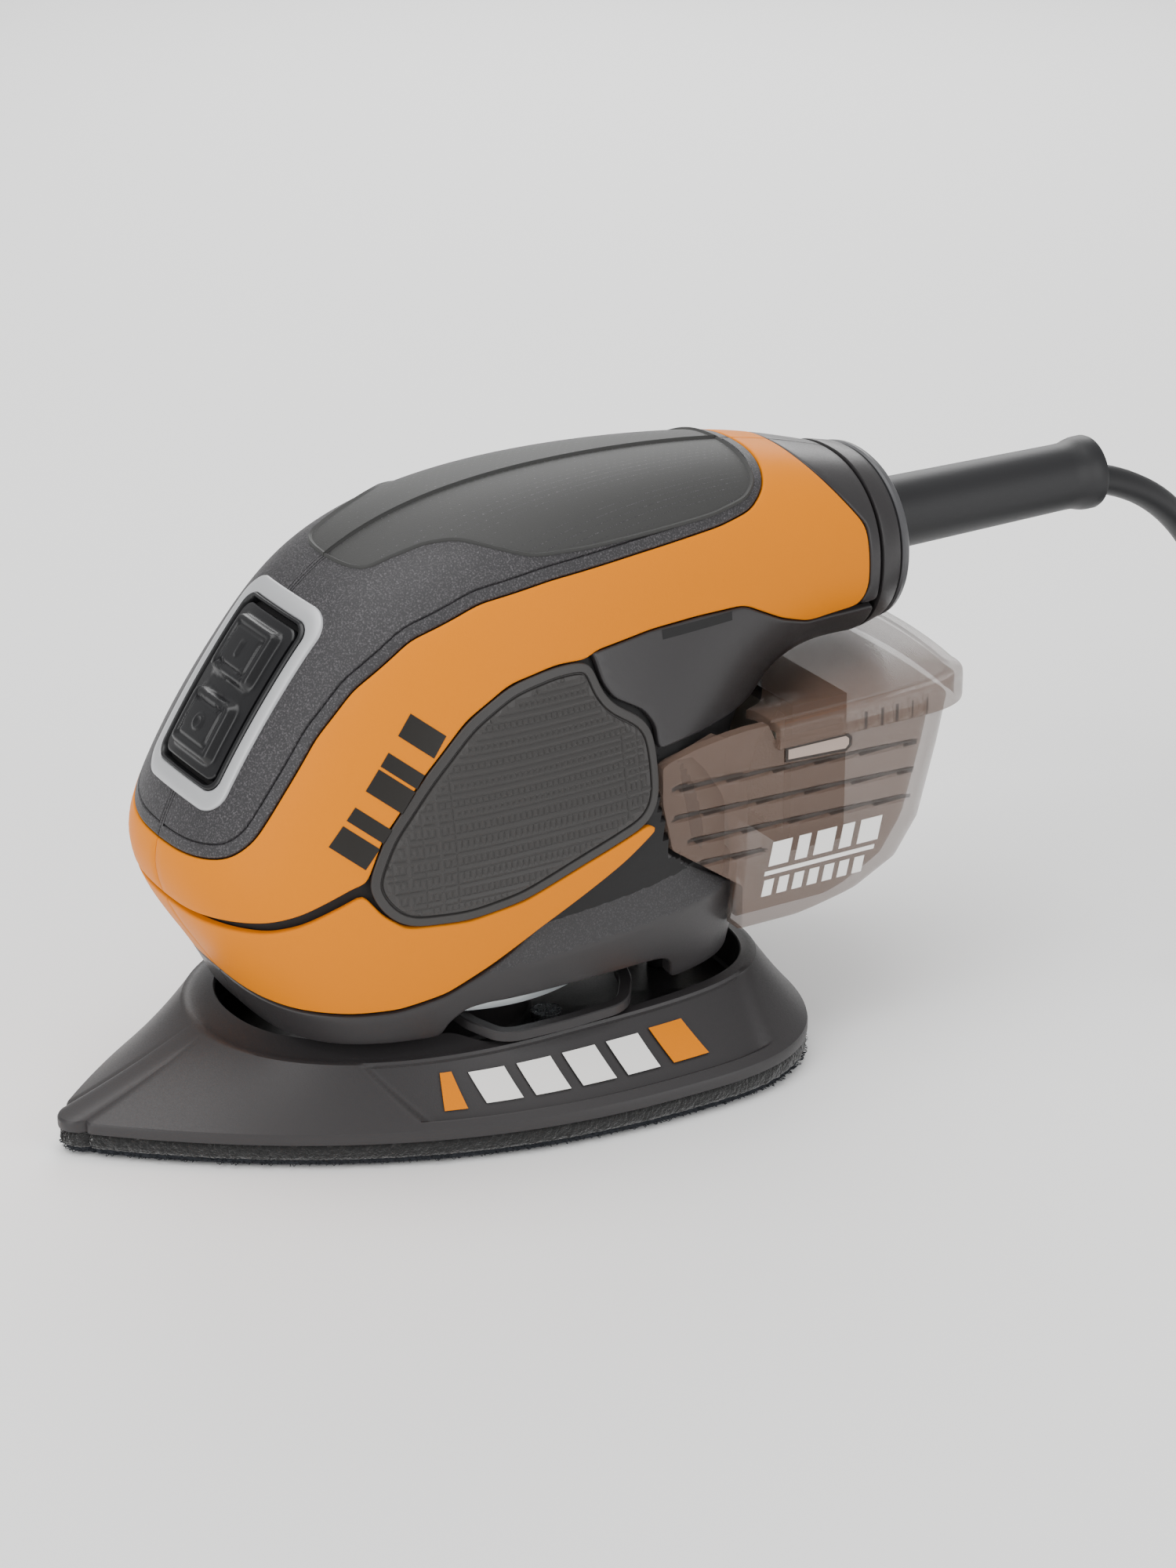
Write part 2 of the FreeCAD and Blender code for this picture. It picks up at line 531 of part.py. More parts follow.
def make_tail_parts(parts):
    tail_row = ((82, 68), (82, 103.4), 20, 2.2, 2.2)
    end_row = ((87.5, 68.6), (87.5, 102.6), 18.9, 2.1, 2.1)
    cap = Part.makeLoft([section_wire(tail_row, 0), section_wire(end_row, 0)], True, True)
    cap = cap.common(box(-40, 82, 50, 40, 100, 120)).cut(rod_y(SLEEVE_ROOT_R, 70, 100, SLEEVE_Z))
    parts["tail_cap"] = cap
    collar_row = ((89.6, 69.6), (89.6, 101.6), 17.8, 2.1, 2.1)
    start_row = ((87.5, 68.9), (87.5, 102.3), 18.6, 2.1, 2.1)
    collar = Part.makeLoft([section_wire(start_row, 0), section_wire(collar_row, 0)], True, True)
    parts["tail_collar"] = collar.cut(rod_y(SLEEVE_ROOT_R, 70, 100, SLEEVE_Z))
    sleeve = rod_y(SLEEVE_ROOT_R, 78, 89.6, SLEEVE_Z)
    cone = Part.makeCone(7.1, 6.4, SLEEVE_END_Y - 2.4 - 89.6, V(0, 89.6, SLEEVE_Z), V(0, 1, 0))
    flange = rod_y(7.2, SLEEVE_END_Y - 2.4, SLEEVE_END_Y, SLEEVE_Z)
    sleeve = sleeve.fuse(cone).fuse(flange).cut(rod_y(CORD_D / 2, 70, 131, SLEEVE_Z))
    parts["cord_sleeve"] = sleeve.removeSplitter()
    parts["inner_lead"] = rod_y(CORD_D / 2 - 0.1, 62, 131, SLEEVE_Z)
    parts["cord_clamp"] = box(-10, 70, SLEEVE_Z - 6, 10, 75, SLEEVE_Z + 6).cut(rod_y(CORD_D / 2, 60, 80, SLEEVE_Z))


def cord_tube(route, name):
    """Round cord swept along a rounded route."""
    wire, length = rounded_route(route, CORD_D)
    start = V(*route[0])
    heading = V(*route[1]) - start
    profile = Part.Wire([Part.makeCircle(CORD_D / 2, start, heading)])
    cord = wire.makePipeShell([profile], True, True)
    expected = math.pi * CORD_D ** 2 / 4 * length
    print(name, "length", round(length, 1), "volume ratio", round(cord.Volume / expected, 4))
    return cord


def make_cord_parts(parts):
    parts["cord"] = cord_tube(CORD_ROUTE, "cord")
    cx, cy = COIL_MID
    breadth, height = COIL_COLUMNS * CORD_D, COIL_LAYERS * CORD_D
    coil = tube(COIL_R + breadth / 2, COIL_R - breadth / 2, 0, height, cx, cy)
    round_edges = [e for e in coil.Edges if isinstance(e.Curve, Part.Circle)]
    coil = coil.makeFillet(CORD_D / 2 - 0.1, round_edges)
    tie = box(cx - 5, cy + COIL_R - breadth / 2 - 1.2, 0, cx + 5, cy + COIL_R + breadth / 2 + 1.2, height + 1.2)
    parts["cord_tie"] = tie.cut(coil)
    parts["cord_coil"] = coil
    parts["cord_end"] = cord_tube(END_ROUTE, "cord end").cut(coil)
    x, y, z = END_ROUTE[-1]
    relief = Part.makeCone(4.6, 3.6, 16, V(x, y - 14, z), V(0, 1, 0))
    grip = box(x - PLUG_HALF, y - 48, 0, x + PLUG_HALF, y - 12, PLUG_THICK)
    grip = grip.makeFillet(5, [e for e in grip.Edges if abs(e.tangentAt(e.FirstParameter).z) > 0.99])
    parts["plug_body"] = grip.fuse(relief).removeSplitter()
    pins = [rod_y(2.0, y - 67, y - 48, z, x + side * 9.5) for side in (1, -1)]
    parts["plug_pins"] = group(pins)


# ---- dust box -----------------------------------------------------------------------------------
def box_plan(inset):
    """Plan outline (x, y) of the dust box: straight sides, round corners and a bowed rear."""
    half = CHEEK_HALF - inset
    front = 20.0
    corner = V(half, 82, 0)
    edges = [Part.LineSegment(V(half, front, 0), corner).toShape()]
    edges.append(Part.Arc(corner, V(half - 2.8, 89.5 - 0.7 * inset, 0), V(half - 10, 94.6 - inset, 0)).toShape())
    edges.append(Part.Arc(V(half - 10, 94.6 - inset, 0), V(0, 97.6 - inset, 0),
                          V(10 - half, 94.6 - inset, 0)).toShape())
    edges.append(Part.Arc(V(10 - half, 94.6 - inset, 0), V(2.8 - half, 89.5 - 0.7 * inset, 0),
                          V(-half, 82, 0)).toShape())
    edges.append(Part.LineSegment(V(-half, 82, 0), V(-half, front, 0)).toShape())
    edges.append(Part.LineSegment(V(-half, front, 0), V(half, front, 0)).toShape())
    return Part.Wire(edges)


def box_form(outline, inset):
    """A plan column of the dust box cut to a side-view outline."""
    plan = Part.Face(box_plan(inset))
    plan.translate(V(0, 0, 10))
    return plan.extrude(V(0, 0, 70)).common(side_prism([(outline, False)], -50, 50))


def make_dust_parts(parts):
    keep_out = body_solid(-GAP).common(box(-RECESS_HALF - GAP, -80, 0, RECESS_HALF + GAP, 120, 120))
    clear = body_solid(-GAP - BOX_WALL)
    hollow = box_form(BOX_HOLLOW, BOX_WALL).common(box(-RECESS_HALF, 0, 0, RECESS_HALF, 120, 120)).cut(clear)
    tub = box_form(BOX_SIDE, 0).cut(keep_out).cut(hollow)
    parts["dust_box_tub"] = tub.cut(rod_y(7.0, 45, 62, 43))
    lid_side = [(45.4, 61.5), (LID_REAR, 61.5), (LID_REAR, 67.6), (90, 67.6), (70, 66.6), (45.4, 66.2)]
    lid = box_form(lid_side, -1.4).cut(box(-CHEEK_HALF, 30, 50, CHEEK_HALF, LID_REAR, 64))
    parts["dust_box_lid"] = lid.cut(body_solid(-GAP - 0.4))
    spigot = rod_y(7.9, 44, 50.4, 43).fuse(rod_y(6.6, 44, 58, 43)).cut(rod_y(5.4, 40, 60, 43))
    parts["dust_spigot"] = spigot.cut(body_solid(0).cut(rod_y(8.0, 40, 60, 43)))
    parts["filter_element"] = box(-18.5, 62, 36, 18.5, 74, 60)
    parts["filter_frame"] = box(-21, 62, 33.4, 21, 74, 62.6).cut(box(-18.5, 60, 36, 18.5, 84, 60))


def main():
    os.makedirs("parts", exist_ok=True)
    parts = {}
    make_platen_parts(parts)
    make_motor_parts(parts)
    make_housing_parts(parts)
    make_switch_parts(parts)
    make_tail_parts(parts)
    make_cord_parts(parts)
    make_dust_parts(parts)
    for name, shape in parts.items():
        print(name, len(shape.Solids), round(shape.Volume / 1000, 2), "cm3", "valid" if shape.isValid() else "INVALID")
        shape.exportStep("parts/" + name + ".step")


main()
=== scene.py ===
import math
import random

import bpy
import numpy as np
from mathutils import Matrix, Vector
from mathutils.geometry import delaunay_2d_cdt


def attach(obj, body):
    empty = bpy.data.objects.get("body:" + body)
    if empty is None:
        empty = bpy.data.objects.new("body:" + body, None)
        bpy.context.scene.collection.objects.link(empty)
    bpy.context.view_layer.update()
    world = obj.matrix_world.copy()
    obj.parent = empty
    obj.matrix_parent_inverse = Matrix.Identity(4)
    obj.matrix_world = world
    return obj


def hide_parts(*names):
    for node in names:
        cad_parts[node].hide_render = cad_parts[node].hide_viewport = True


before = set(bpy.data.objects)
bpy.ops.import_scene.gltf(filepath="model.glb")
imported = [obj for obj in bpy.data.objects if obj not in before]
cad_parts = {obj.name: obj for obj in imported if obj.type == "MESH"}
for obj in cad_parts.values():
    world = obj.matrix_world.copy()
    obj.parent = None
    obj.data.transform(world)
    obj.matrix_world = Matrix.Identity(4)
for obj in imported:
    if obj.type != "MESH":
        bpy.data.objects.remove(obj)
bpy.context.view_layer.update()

# The nose points to -Y, the cord to +Y, and the camera sees the +X side. Lengths are in mm, and MM makes metres.
# A point of the body's surface is (t, turn): t picks a section line and turn goes round that section.
MM = 0.001


def add_object(name, data):
    obj = bpy.data.objects.new(name, data)
    bpy.context.scene.collection.objects.link(obj)
    return obj


# ---- camera, light and floor --------------------------------------------------------------------
camera = add_object("camera", bpy.data.cameras.new("camera"))
camera.data.lens = 95.88
camera.data.sensor_width = 36
camera.data.clip_start = 0.02
camera.location = (0.60704520, -0.33420529, 0.35363411)
TARGET = Vector((0.01740298, 0.02046675, 0.05494750))
camera.rotation_euler = (TARGET - camera.location).to_track_quat("-Z", "Y").to_euler()
bpy.context.scene.camera = camera


def area_light(name, place, aim, size, watts, size_y=None):
    lamp = bpy.data.lights.new(name, "AREA")
    lamp.energy = watts
    lamp.shape = "RECTANGLE"
    lamp.size = size
    lamp.size_y = size_y or size
    obj = add_object(name, lamp)
    obj.location = place
    obj.rotation_euler = (Vector(aim) - Vector(place)).to_track_quat("-Z", "Y").to_euler()


area_light("light_top", (-0.05, -0.15, 0.95), (0, 0, 0.05), 0.9, 9)
area_light("light_left", (0.35, -0.95, 0.42), (0, -0.02, 0.06), 0.5, 5, 0.8)
area_light("light_right", (0.95, 0.45, 0.40), (0, 0.02, 0.05), 0.55, 4.5, 0.8)
area_light("light_back", (-0.7, 0.5, 0.5), (0, 0, 0.08), 0.6, 5)

world = bpy.data.worlds.new("studio")
bpy.context.scene.world = world
world.use_nodes = True
world.node_tree.nodes["Background"].inputs["Color"].default_value = (1.0, 1.0, 1.0, 1)
world.node_tree.nodes["Background"].inputs["Strength"].default_value = 0.55


# ---- materials ----------------------------------------------------------------------------------
def linear(hex_colour):
    """A hex sRGB colour as linear RGBA."""
    parts = [int(hex_colour[i:i + 2], 16) / 255 for i in (0, 2, 4)]
    return tuple(c / 12.92 if c < 0.04045 else ((c + 0.055) / 1.055) ** 2.4 for c in parts) + (1,)


MATERIALS = {}


def material(name, colour, roughness=0.5, metal=0.0, grain=0.0, depth=0.0, speckle=None, sheen=0.0, mottle=0.0,
             specular=0.5, alpha=1.0):
    """Principled surface. grain is its texture's size and depth its height in mm, speckle a second colour, and
    mottle how far its roughness strays."""
    mat = bpy.data.materials.new(name)
    mat.use_nodes = True
    tree = mat.node_tree
    shader = tree.nodes["Principled BSDF"]
    MATERIALS[name] = mat

    def fill(node, **values):
        for socket, value in values.items():
            node.inputs[socket.replace("_", " ")].default_value = value
        return node

    def link(source, output, node, socket):
        tree.links.new(source.outputs[output], node.inputs[socket])

    fill(shader, Base_Color=linear(colour), Roughness=roughness, Metallic=metal, Sheen_Weight=sheen,
         Specular_IOR_Level=specular, IOR=1.45, Alpha=alpha)
    if not grain:
        return
    place = tree.nodes.new("ShaderNodeTexCoord")
    noise = fill(tree.nodes.new("ShaderNodeTexNoise"), Scale=1 / (grain * MM), Detail=3.0, Roughness=0.6)
    link(place, "Object", noise, "Vector")
    if depth:
        bump = fill(tree.nodes.new("ShaderNodeBump"), Distance=depth * MM, Strength=1.0)
        link(noise, "Fac", bump, "Height")
        link(bump, "Normal", shader, "Normal")
    if speckle:
        ramp = tree.nodes.new("ShaderNodeValToRGB")
        for stop, position, hex_colour in zip(ramp.color_ramp.elements, (0.5, 0.72), (colour, speckle)):
            stop.position = position
            stop.color = linear(hex_colour)
        link(noise, "Fac", ramp, "Fac")
        link(ramp, "Color", shader, "Base Color")
    if mottle:
        spread = fill(tree.nodes.new("ShaderNodeMapRange"), From_Min=0.3, From_Max=0.7,
                      To_Min=roughness - mottle, To_Max=roughness + mottle)
        link(noise, "Fac", spread, "Value")
        link(spread, "Result", shader, "Roughness")


material("orange", "DE7F00", 0.44, grain=0.35, depth=0.02, mottle=0.04, specular=0.07)
material("cover", "2A292B", 0.5, grain=0.32, depth=0.12, speckle="5C595C")
material("skirt_grain", "2B2A2B", 0.55, grain=0.3, depth=0.08, speckle="454346")
material("palm", "343433", 0.62, grain=0.25, depth=0.03)
material("grip", "333130", 0.5, grain=0.3, depth=0.015)
material("collar", "4A4A4C", 0.4, grain=0.4, depth=0.012)
material("smooth_dark", "2C2A2B", 0.38, grain=0.4, depth=0.012, mottle=0.05)
# Near-black: painted shade behind the gaps between the panels and in the vent slot.
material("liner_shade", "121112", 0.7, grain=0.5, depth=0.02)
material("bezel", "B9BABC", 0.42, metal=0.35, grain=0.3, depth=0.01)
material("boot", "141416", 0.33, grain=0.5, depth=0.015)
material("platen", "2F2D2E", 0.46, grain=0.35, depth=0.02, mottle=0.06)
material("foam", "161616", 0.95, grain=0.7, depth=0.5, sheen=0.4)
material("hooks", "23262C", 0.8)
material("nylon", "E6E4DE", 0.45, grain=0.6, depth=0.01)
material("steel", "C3C6C9", 0.28, metal=1.0, grain=0.5, depth=0.004, mottle=0.06)
material("zinc", "DFE5E7", 0.28, metal=0.6, grain=1.2, depth=0.002)
material("iron", "6F7174", 0.5, metal=1.0, grain=0.6, depth=0.02)
material("copper", "B4673A", 0.35, metal=1.0, grain=0.4, depth=0.05)
material("carbon", "202022", 0.75, grain=0.3, depth=0.05)
material("brass", "B79A55", 0.32, metal=1.0, grain=0.6, depth=0.01)
material("smoke", "745F53", 0.26, alpha=0.5)
# Darker, less clear smoke: painted shade in the tub's long grooves and at the feet of the lid's finger ribs;
# also used for the latch frame.
material("smoke_dark_and_shade", "352C27", 0.4, alpha=0.75)
material("smoke_pale", "A8968B", 0.35)
material("filter", "D8D4C8", 0.9, grain=0.5, depth=0.2)
material("cable", "1B1B1D", 0.48, grain=0.4, depth=0.02)
material("tie", "1A1A1A", 0.5, grain=0.6, depth=0.01)
material("film", "C9B23A", 0.4, grain=0.8, depth=0.01)
material("print_dark", "17130F", 0.5, grain=0.3, depth=0.01)
material("print_light", "F2F1EE", 0.5, grain=0.3, depth=0.01)


def make_floor(half=4.0, drop=0.0006):
    """Pale floor, just under the lowest point so that they don't share a plane."""
    mat = bpy.data.materials.new("paper")
    mat.use_nodes = True
    shader = mat.node_tree.nodes["Principled BSDF"]
    shader.inputs["Base Color"].default_value = (0.96, 0.96, 0.955, 1)
    shader.inputs["Roughness"].default_value = 0.8
    mesh = bpy.data.meshes.new("floor")
    corners = [(-half, -half, 0), (half, -half, 0), (half, half, 0), (-half, half, 0)]
    mesh.from_pydata(corners, [], [(0, 1, 2, 3)])
    mesh.materials.append(mat)
    floor = add_object("floor", mesh)
    floor.location.z = -drop


make_floor()


# ---- mesh helpers -------------------------------------------------------------------------------
def piece(name, points, faces, mat, body="root", nodes=(), slot=None, sharp=35, flip=False, second=None):
    """A mesh piece that rides on body and stands for the CAD nodes. second is (material, test of a face)."""
    mesh = bpy.data.meshes.new(name)
    mesh.from_pydata([tuple(float(c) * MM for c in p) for p in points], [],
                     [tuple(reversed(f)) if flip else tuple(f) for f in faces])
    mesh.validate()
    mesh.materials.append(MATERIALS[mat])
    if second:
        mesh.materials.append(MATERIALS[second[0]])
        for face in mesh.polygons:
            face.material_index = int(second[1](face.center / MM))
    mesh.shade_smooth()
    if sharp:
        mesh.set_sharp_from_angle(angle=math.radians(sharp))
    obj = add_object(name, mesh)
    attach(obj, body)
    if nodes:
        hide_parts(*nodes)


def ring_faces(count, rings, closed_ring=True, closed_stack=False, start=0):
    """Quads between successive rings of count points each."""
    faces = []
    for r in range(rings if closed_stack else rings - 1):
        a, b = start + r * count, start + ((r + 1) % rings) * count
        for i in range(count if closed_ring else count - 1):
            j = (i + 1) % count
            faces.append((a + i, a + j, b + j, b + i))
    return faces


def stack(name, rings, mat, **options):
    """A piece through successive rings of points, capped at both ends."""
    count, total = len(rings[0]), len(rings)
    caps = [tuple(reversed(range(count))), tuple(range(count * (total - 1), count * total))]
    piece(name, np.vstack(rings), ring_faces(count, total) + caps, mat, **options)


def tube(name, rings, mat, **options):
    """A piece through successive rings of points whose last ring joins the first."""
    faces = ring_faces(len(rings[0]), len(rings), closed_stack=True)
    piece(name, np.vstack(rings), faces, mat, **options)


def pair(name, points, faces, mat, nodes=(), **options):
    """A piece on the +X side, called left, and its mirror image, called right."""
    for side, word in ((1, "left_"), (-1, "right_")):
        piece(word + name, np.asarray(points, float) * np.array([side, 1, 1]), faces, mat,
              nodes=[word + node for node in nodes], flip=side < 0, **options)


def corner_grid(corners, count):
    """(count + 1) squared places inside four corners."""
    u, v = [g.ravel() for g in np.meshgrid(*[np.linspace(0, 1, count + 1)] * 2, indexing="ij")]
    weights = np.stack([(1 - u) * (1 - v), u * (1 - v), u * v, (1 - u) * v], -1)
    return weights @ np.array(corners, float)


def sheet_faces(count):
    """Faces of a thin sheet between a low and a high corner_grid, with its rim."""
    wide, total = count + 1, (count + 1) ** 2
    faces = []
    for k in (i * wide + j for i in range(count) for j in range(count)):
        faces.append((k, k + 1, k + wide + 1, k + wide))
        faces.append((total + k, total + k + wide, total + k + wide + 1, total + k + 1))
    rim = [i * wide for i in range(count)] + [count * wide + j for j in range(count)]
    rim += [i * wide + count for i in range(count, 0, -1)] + list(range(count, 0, -1))
    return faces + [(b, a, total + a, total + b) for a, b in zip(rim, rim[1:] + rim[:1])]


def level(flat, z):
    """Plan points at a height."""
    return np.column_stack([flat, np.broadcast_to(z, len(flat))])


def mirrored(half):
    """The whole outline from its +X half, which ends on the middle line."""
    return np.vstack([half, half[:-1][::-1] * np.array([-1, 1])])


def lathe(name, profile, mat, axis_point, axis="z", count=64, **options):
    """A turned piece from (radius, height) pairs, closed at both ends."""
    angle = 2 * np.pi * np.arange(count) / count
    rings = []
    for radius, height in profile:
        c, s, along = radius * np.cos(angle), radius * np.sin(angle), np.full(count, height)
        rings.append(np.column_stack([c, s, along] if axis == "z" else [s, along, c]) + axis_point)
    stack(name, rings, mat, **options)


def unit(vectors):
    """Rows scaled to length one."""
    return vectors / (np.linalg.norm(vectors, axis=-1)[..., None] + 1e-12)


def smoothstep(a, b, x):
    """0 below a, 1 above b, with a soft change between."""
    f = np.clip((np.asarray(x, float) - a) / (b - a), 0, 1)
    return f * f * (3 - 2 * f)


# ---- cord ---------------------------------------------------------------------------------------
CORD_D = 5.8
CORD_ROUTE = [(0, 131, 87), (0, 142, 86.4), (-0.5, 153, 83), (-1.8, 163.5, 77), (-3.8, 173, 68),
              (-6.2, 181, 56.5), (-9, 188, 44), (-12, 195, 32), (-15.2, 203, 20.5), (-18.4, 213, 11),
              (-20.8, 225, 5)]
PLUG_X, PLUG_Z = 65.6, 6.5
END_ROUTE = [(PLUG_X, 229, 8.6), (PLUG_X, 222, 7.7), (PLUG_X, 215, 6.8), (PLUG_X, 206, PLUG_Z)]
COIL_X, COIL_Y = 22.0, 238.0
COIL_R = 32.0
COIL_CELLS = [(c, 0) for c in (4, 3, 2, 1, 0)] + [(c, 1) for c in (0, 1, 2, 3, 4)]
COIL_TURNS = 9.5
COIL_SHIFT = 32.0


def coil_points(per_turn=24):
    """The coil, clockwise from the -X side: each pass shifts to the next place in a short span of angle."""
    points = []
    for k in range(int(COIL_TURNS * per_turn) + 1):
        degrees = 360 * k / per_turn
        turn = int(degrees // 360)
        column, layer = COIL_CELLS[min(turn, 9)]
        window = 330 - 33 * turn
        if turn < 9:
            share = float(smoothstep(window, window + COIL_SHIFT, degrees - 360 * turn))
            column += share * (COIL_CELLS[turn + 1][0] - column)
            layer += share * (COIL_CELLS[turn + 1][1] - layer)
        r = COIL_R + (column - 2) * CORD_D
        angle = math.radians(180 - degrees)
        points.append((COIL_X + r * math.cos(angle), COIL_Y + r * math.sin(angle), (layer + 0.5) * CORD_D))
    return points


def make_cord():
    """The lead from the sleeve over the edge to the floor, its coil, and its end at the plug."""
    route = CORD_ROUTE + coil_points() + END_ROUTE
    curve = bpy.data.curves.new("cord_run", "CURVE")
    curve.dimensions = "3D"
    curve.bevel_depth = CORD_D / 2 * MM
    curve.bevel_resolution = 5
    curve.resolution_u = 5
    curve.use_fill_caps = True
    spline = curve.splines.new("NURBS")
    spline.points.add(len(route) - 1)
    for point, place in zip(spline.points, route):
        point.co = tuple(c * MM for c in place) + (1,)
    spline.order_u = 3
    spline.use_endpoint_u = True
    curve.materials.append(MATERIALS["cable"])
    obj = add_object("cord_run", curve)
    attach(obj, "root")
    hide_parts("cord", "cord_coil", "cord_end")


# ---- body surface -------------------------------------------------------------------------------
# Each row: a section line's inner and outer end in side view (y, z), half width, outer and inner roundness.
BODY_ROWS = [
    ((50, 21), (-42.4, 21), 32, 3.2, 3.8),
    ((51, 29), (-47, 29.5), 34.5, 3.0, 3.6),
    ((51.5, 37), (-53, 39), 36.5, 2.8, 3.4),
    ((52, 44), (-57, 49), 37.5, 2.6, 3.2),
    ((52.5, 49.5), (-55.5, 58.5), 37.5, 2.5, 3.0),
    ((53.5, 54), (-48.5, 71.5), 36.5, 2.5, 2.8),
    ((55.5, 58), (-38.5, 86), 34.5, 2.5, 2.6),
    ((58.5, 62), (-25, 99.8), 32, 2.5, 2.5),
    ((62, 65), (-4, 108.2), 29, 2.5, 2.4),
    ((66, 67), (22, 110.8), 26, 2.5, 2.3),
    ((71, 68), (47, 110.0), 23.5, 2.4, 2.2),
    ((76, 68.3), (66, 107.4), 21.8, 2.3, 2.2),
    ((82, 68), (81, 103.4), 20, 2.2, 2.2),
]
ROW_VALUES = np.array([list(a) + list(b) + [h, p, q] for a, b, h, p, q in BODY_ROWS], float)
LAST = len(BODY_ROWS) - 1


def spline_bends(values):
    """Second differences of the natural cubic spline through values at whole numbers."""
    n = len(values)
    system = np.eye(n)
    change = np.zeros_like(values)
    for i in range(1, n - 1):
        system[i, i - 1:i + 2] = (1, 4, 1)
        change[i] = 6 * (values[i + 1] - 2 * values[i] + values[i - 1])
    return np.linalg.solve(system, change)


ROW_BENDS = spline_bends(ROW_VALUES)


def rows_at(t):
    """BODY_ROWS between its rows, along a cubic spline."""
    i = np.clip(np.floor(t).astype(int), 0, LAST - 1)
    f = (t - i)[:, None]
    g = 1 - f
    return (g * ROW_VALUES[i] + f * ROW_VALUES[i + 1] + (g ** 3 - g) * ROW_BENDS[i] / 6
            + (f ** 3 - f) * ROW_BENDS[i + 1] / 6)


def frames_at(t):
    """Middle, direction, half span, half width and the two roundnesses of the sections."""
    iy, iz, oy, oz, half, n_out, n_in = rows_at(t).T
    ay, az = oy - iy, oz - iz
    span = np.hypot(ay, az)
    return (iy + oy) / 2, (iz + oz) / 2, ay / span, az / span, span / 2, half, n_out, n_in


def surface(t, turn, inset=0.0):
    """Points of the body's surface."""
    t, turn = np.broadcast_arrays(np.atleast_1d(t).astype(float), np.atleast_1d(turn).astype(float))
    my, mz, ay, az, reach, half, n_out, n_in = frames_at(t)
    c, s = np.cos(turn), np.sin(turn)
    n = np.where(c >= 0, n_out, n_in)
    r = ((np.abs(c) / (reach - inset)) ** n + (np.abs(s) / (half - inset)) ** n) ** (-1 / n)
    return np.stack([r * s, my + ay * r * c, mz + az * r * c], -1)


def normals(t, turn):
    """Outward directions of the body's surface."""
    e = 0.004
    along = surface(t + e, turn) - surface(t - e, turn)
    around = surface(t, turn + e) - surface(t, turn - e)
    n = unit(np.cross(around, along))
    my, mz = frames_at(np.asarray(t, float))[:2]
    out = surface(t, turn) - np.stack([0 * my, my, mz], -1)
    return n * np.where((n * out).sum(1) < 0, -1, 1)[:, None]


def bisect(low, high, past, steps=34):
    """Where a test over whole arrays turns from false to true."""
    for _ in range(steps):
        middle = (low + high) / 2
        over = past(middle)
        low, high = np.where(over, low, middle), np.where(over, middle, high)
    return (low + high) / 2


def section_of(y, z):
    """t of the section line that passes through each side-view point."""
    def past(t):
        iy, iz, oy, oz = rows_at(t).T[:4]
        return (oy - iy) * (z - iz) - (oz - iz) * (y - iy) > 0

    return bisect(np.full(len(y), -0.6), np.full(len(y), LAST + 0.6), past)


def from_side(points):
    """(t, turn, whether inside the silhouette) of side-view points (y, z)."""
    y, z = np.asarray(points, float).T
    t = section_of(y, z)
    my, mz, ay, az, reach, half, n_out, n_in = frames_at(t)
    d = (y - my) * ay + (z - mz) * az
    n = np.where(d >= 0, n_out, n_in)
    left = 1 - np.abs(d / reach) ** n
    x = half * np.clip(left, 0, None) ** (1 / n)
    return t, np.arctan2(x, d), left > 0


def from_point(points):
    """(t, turn) of 3-D points brought onto the surface in their section's plane."""
    x, y, z = np.asarray(points, float).T
    t = section_of(y, z)
    my, mz, ay, az = frames_at(t)[:4]
    return t, np.arctan2(x, (y - my) * ay + (z - mz) * az)


def body_x(y, z):
    """Half width of the body at side-view points."""
    t, turn, inside = from_side(np.stack([np.atleast_1d(y), np.atleast_1d(z)], -1))
    return np.where(inside, surface(t, turn)[:, 0], 0)


# ---- set-in panels ------------------------------------------------------------------------------
def resample(points, spacing):
    """Points at even steps along a line of points."""
    points = np.asarray(points, float)
    steps = np.linalg.norm(np.diff(points, axis=0), axis=1)
    run = np.concatenate([[0], np.cumsum(steps)])
    count = max(2, int(round(run[-1] / spacing)) + 1)
    at = np.linspace(0, run[-1], count)
    return np.stack([np.interp(at, run, points[:, k]) for k in range(points.shape[1])], -1)


def eased(points, radius, closed=False, grain=0.3):
    """Resampled outline with its corners rounded; the ends of an open one stay."""
    points = np.asarray(points, float)
    fine = resample(np.vstack([points, points[:1]]), grain)[:-1] if closed else resample(points, grain)
    reach = max(1, int(radius / grain))
    n = len(fine)
    room = np.full(n, reach) if closed else np.minimum(np.arange(n), np.arange(n)[::-1])
    for _ in range(2):
        total = np.zeros_like(fine)
        weight = np.zeros(n)
        for k in range(-reach, reach + 1):
            ok = abs(k) <= room
            total[ok] += fine[(np.arange(n) + k)[ok] % n]
            weight[ok] += 1
        fine = total / weight[:, None]
    return fine


def closed_loop(points, radius, spacing=1.0):
    """Loop on the surface from a closed side-view outline: t, turn and how much each edge is inset."""
    solid = surface(*from_side(eased(points, radius, closed=True))[:2])
    t, turn = from_point(resample(np.vstack([solid, solid[:1]]), spacing)[:-1])
    return t, turn, np.ones(len(t))


CREST_SCALE = 0.3


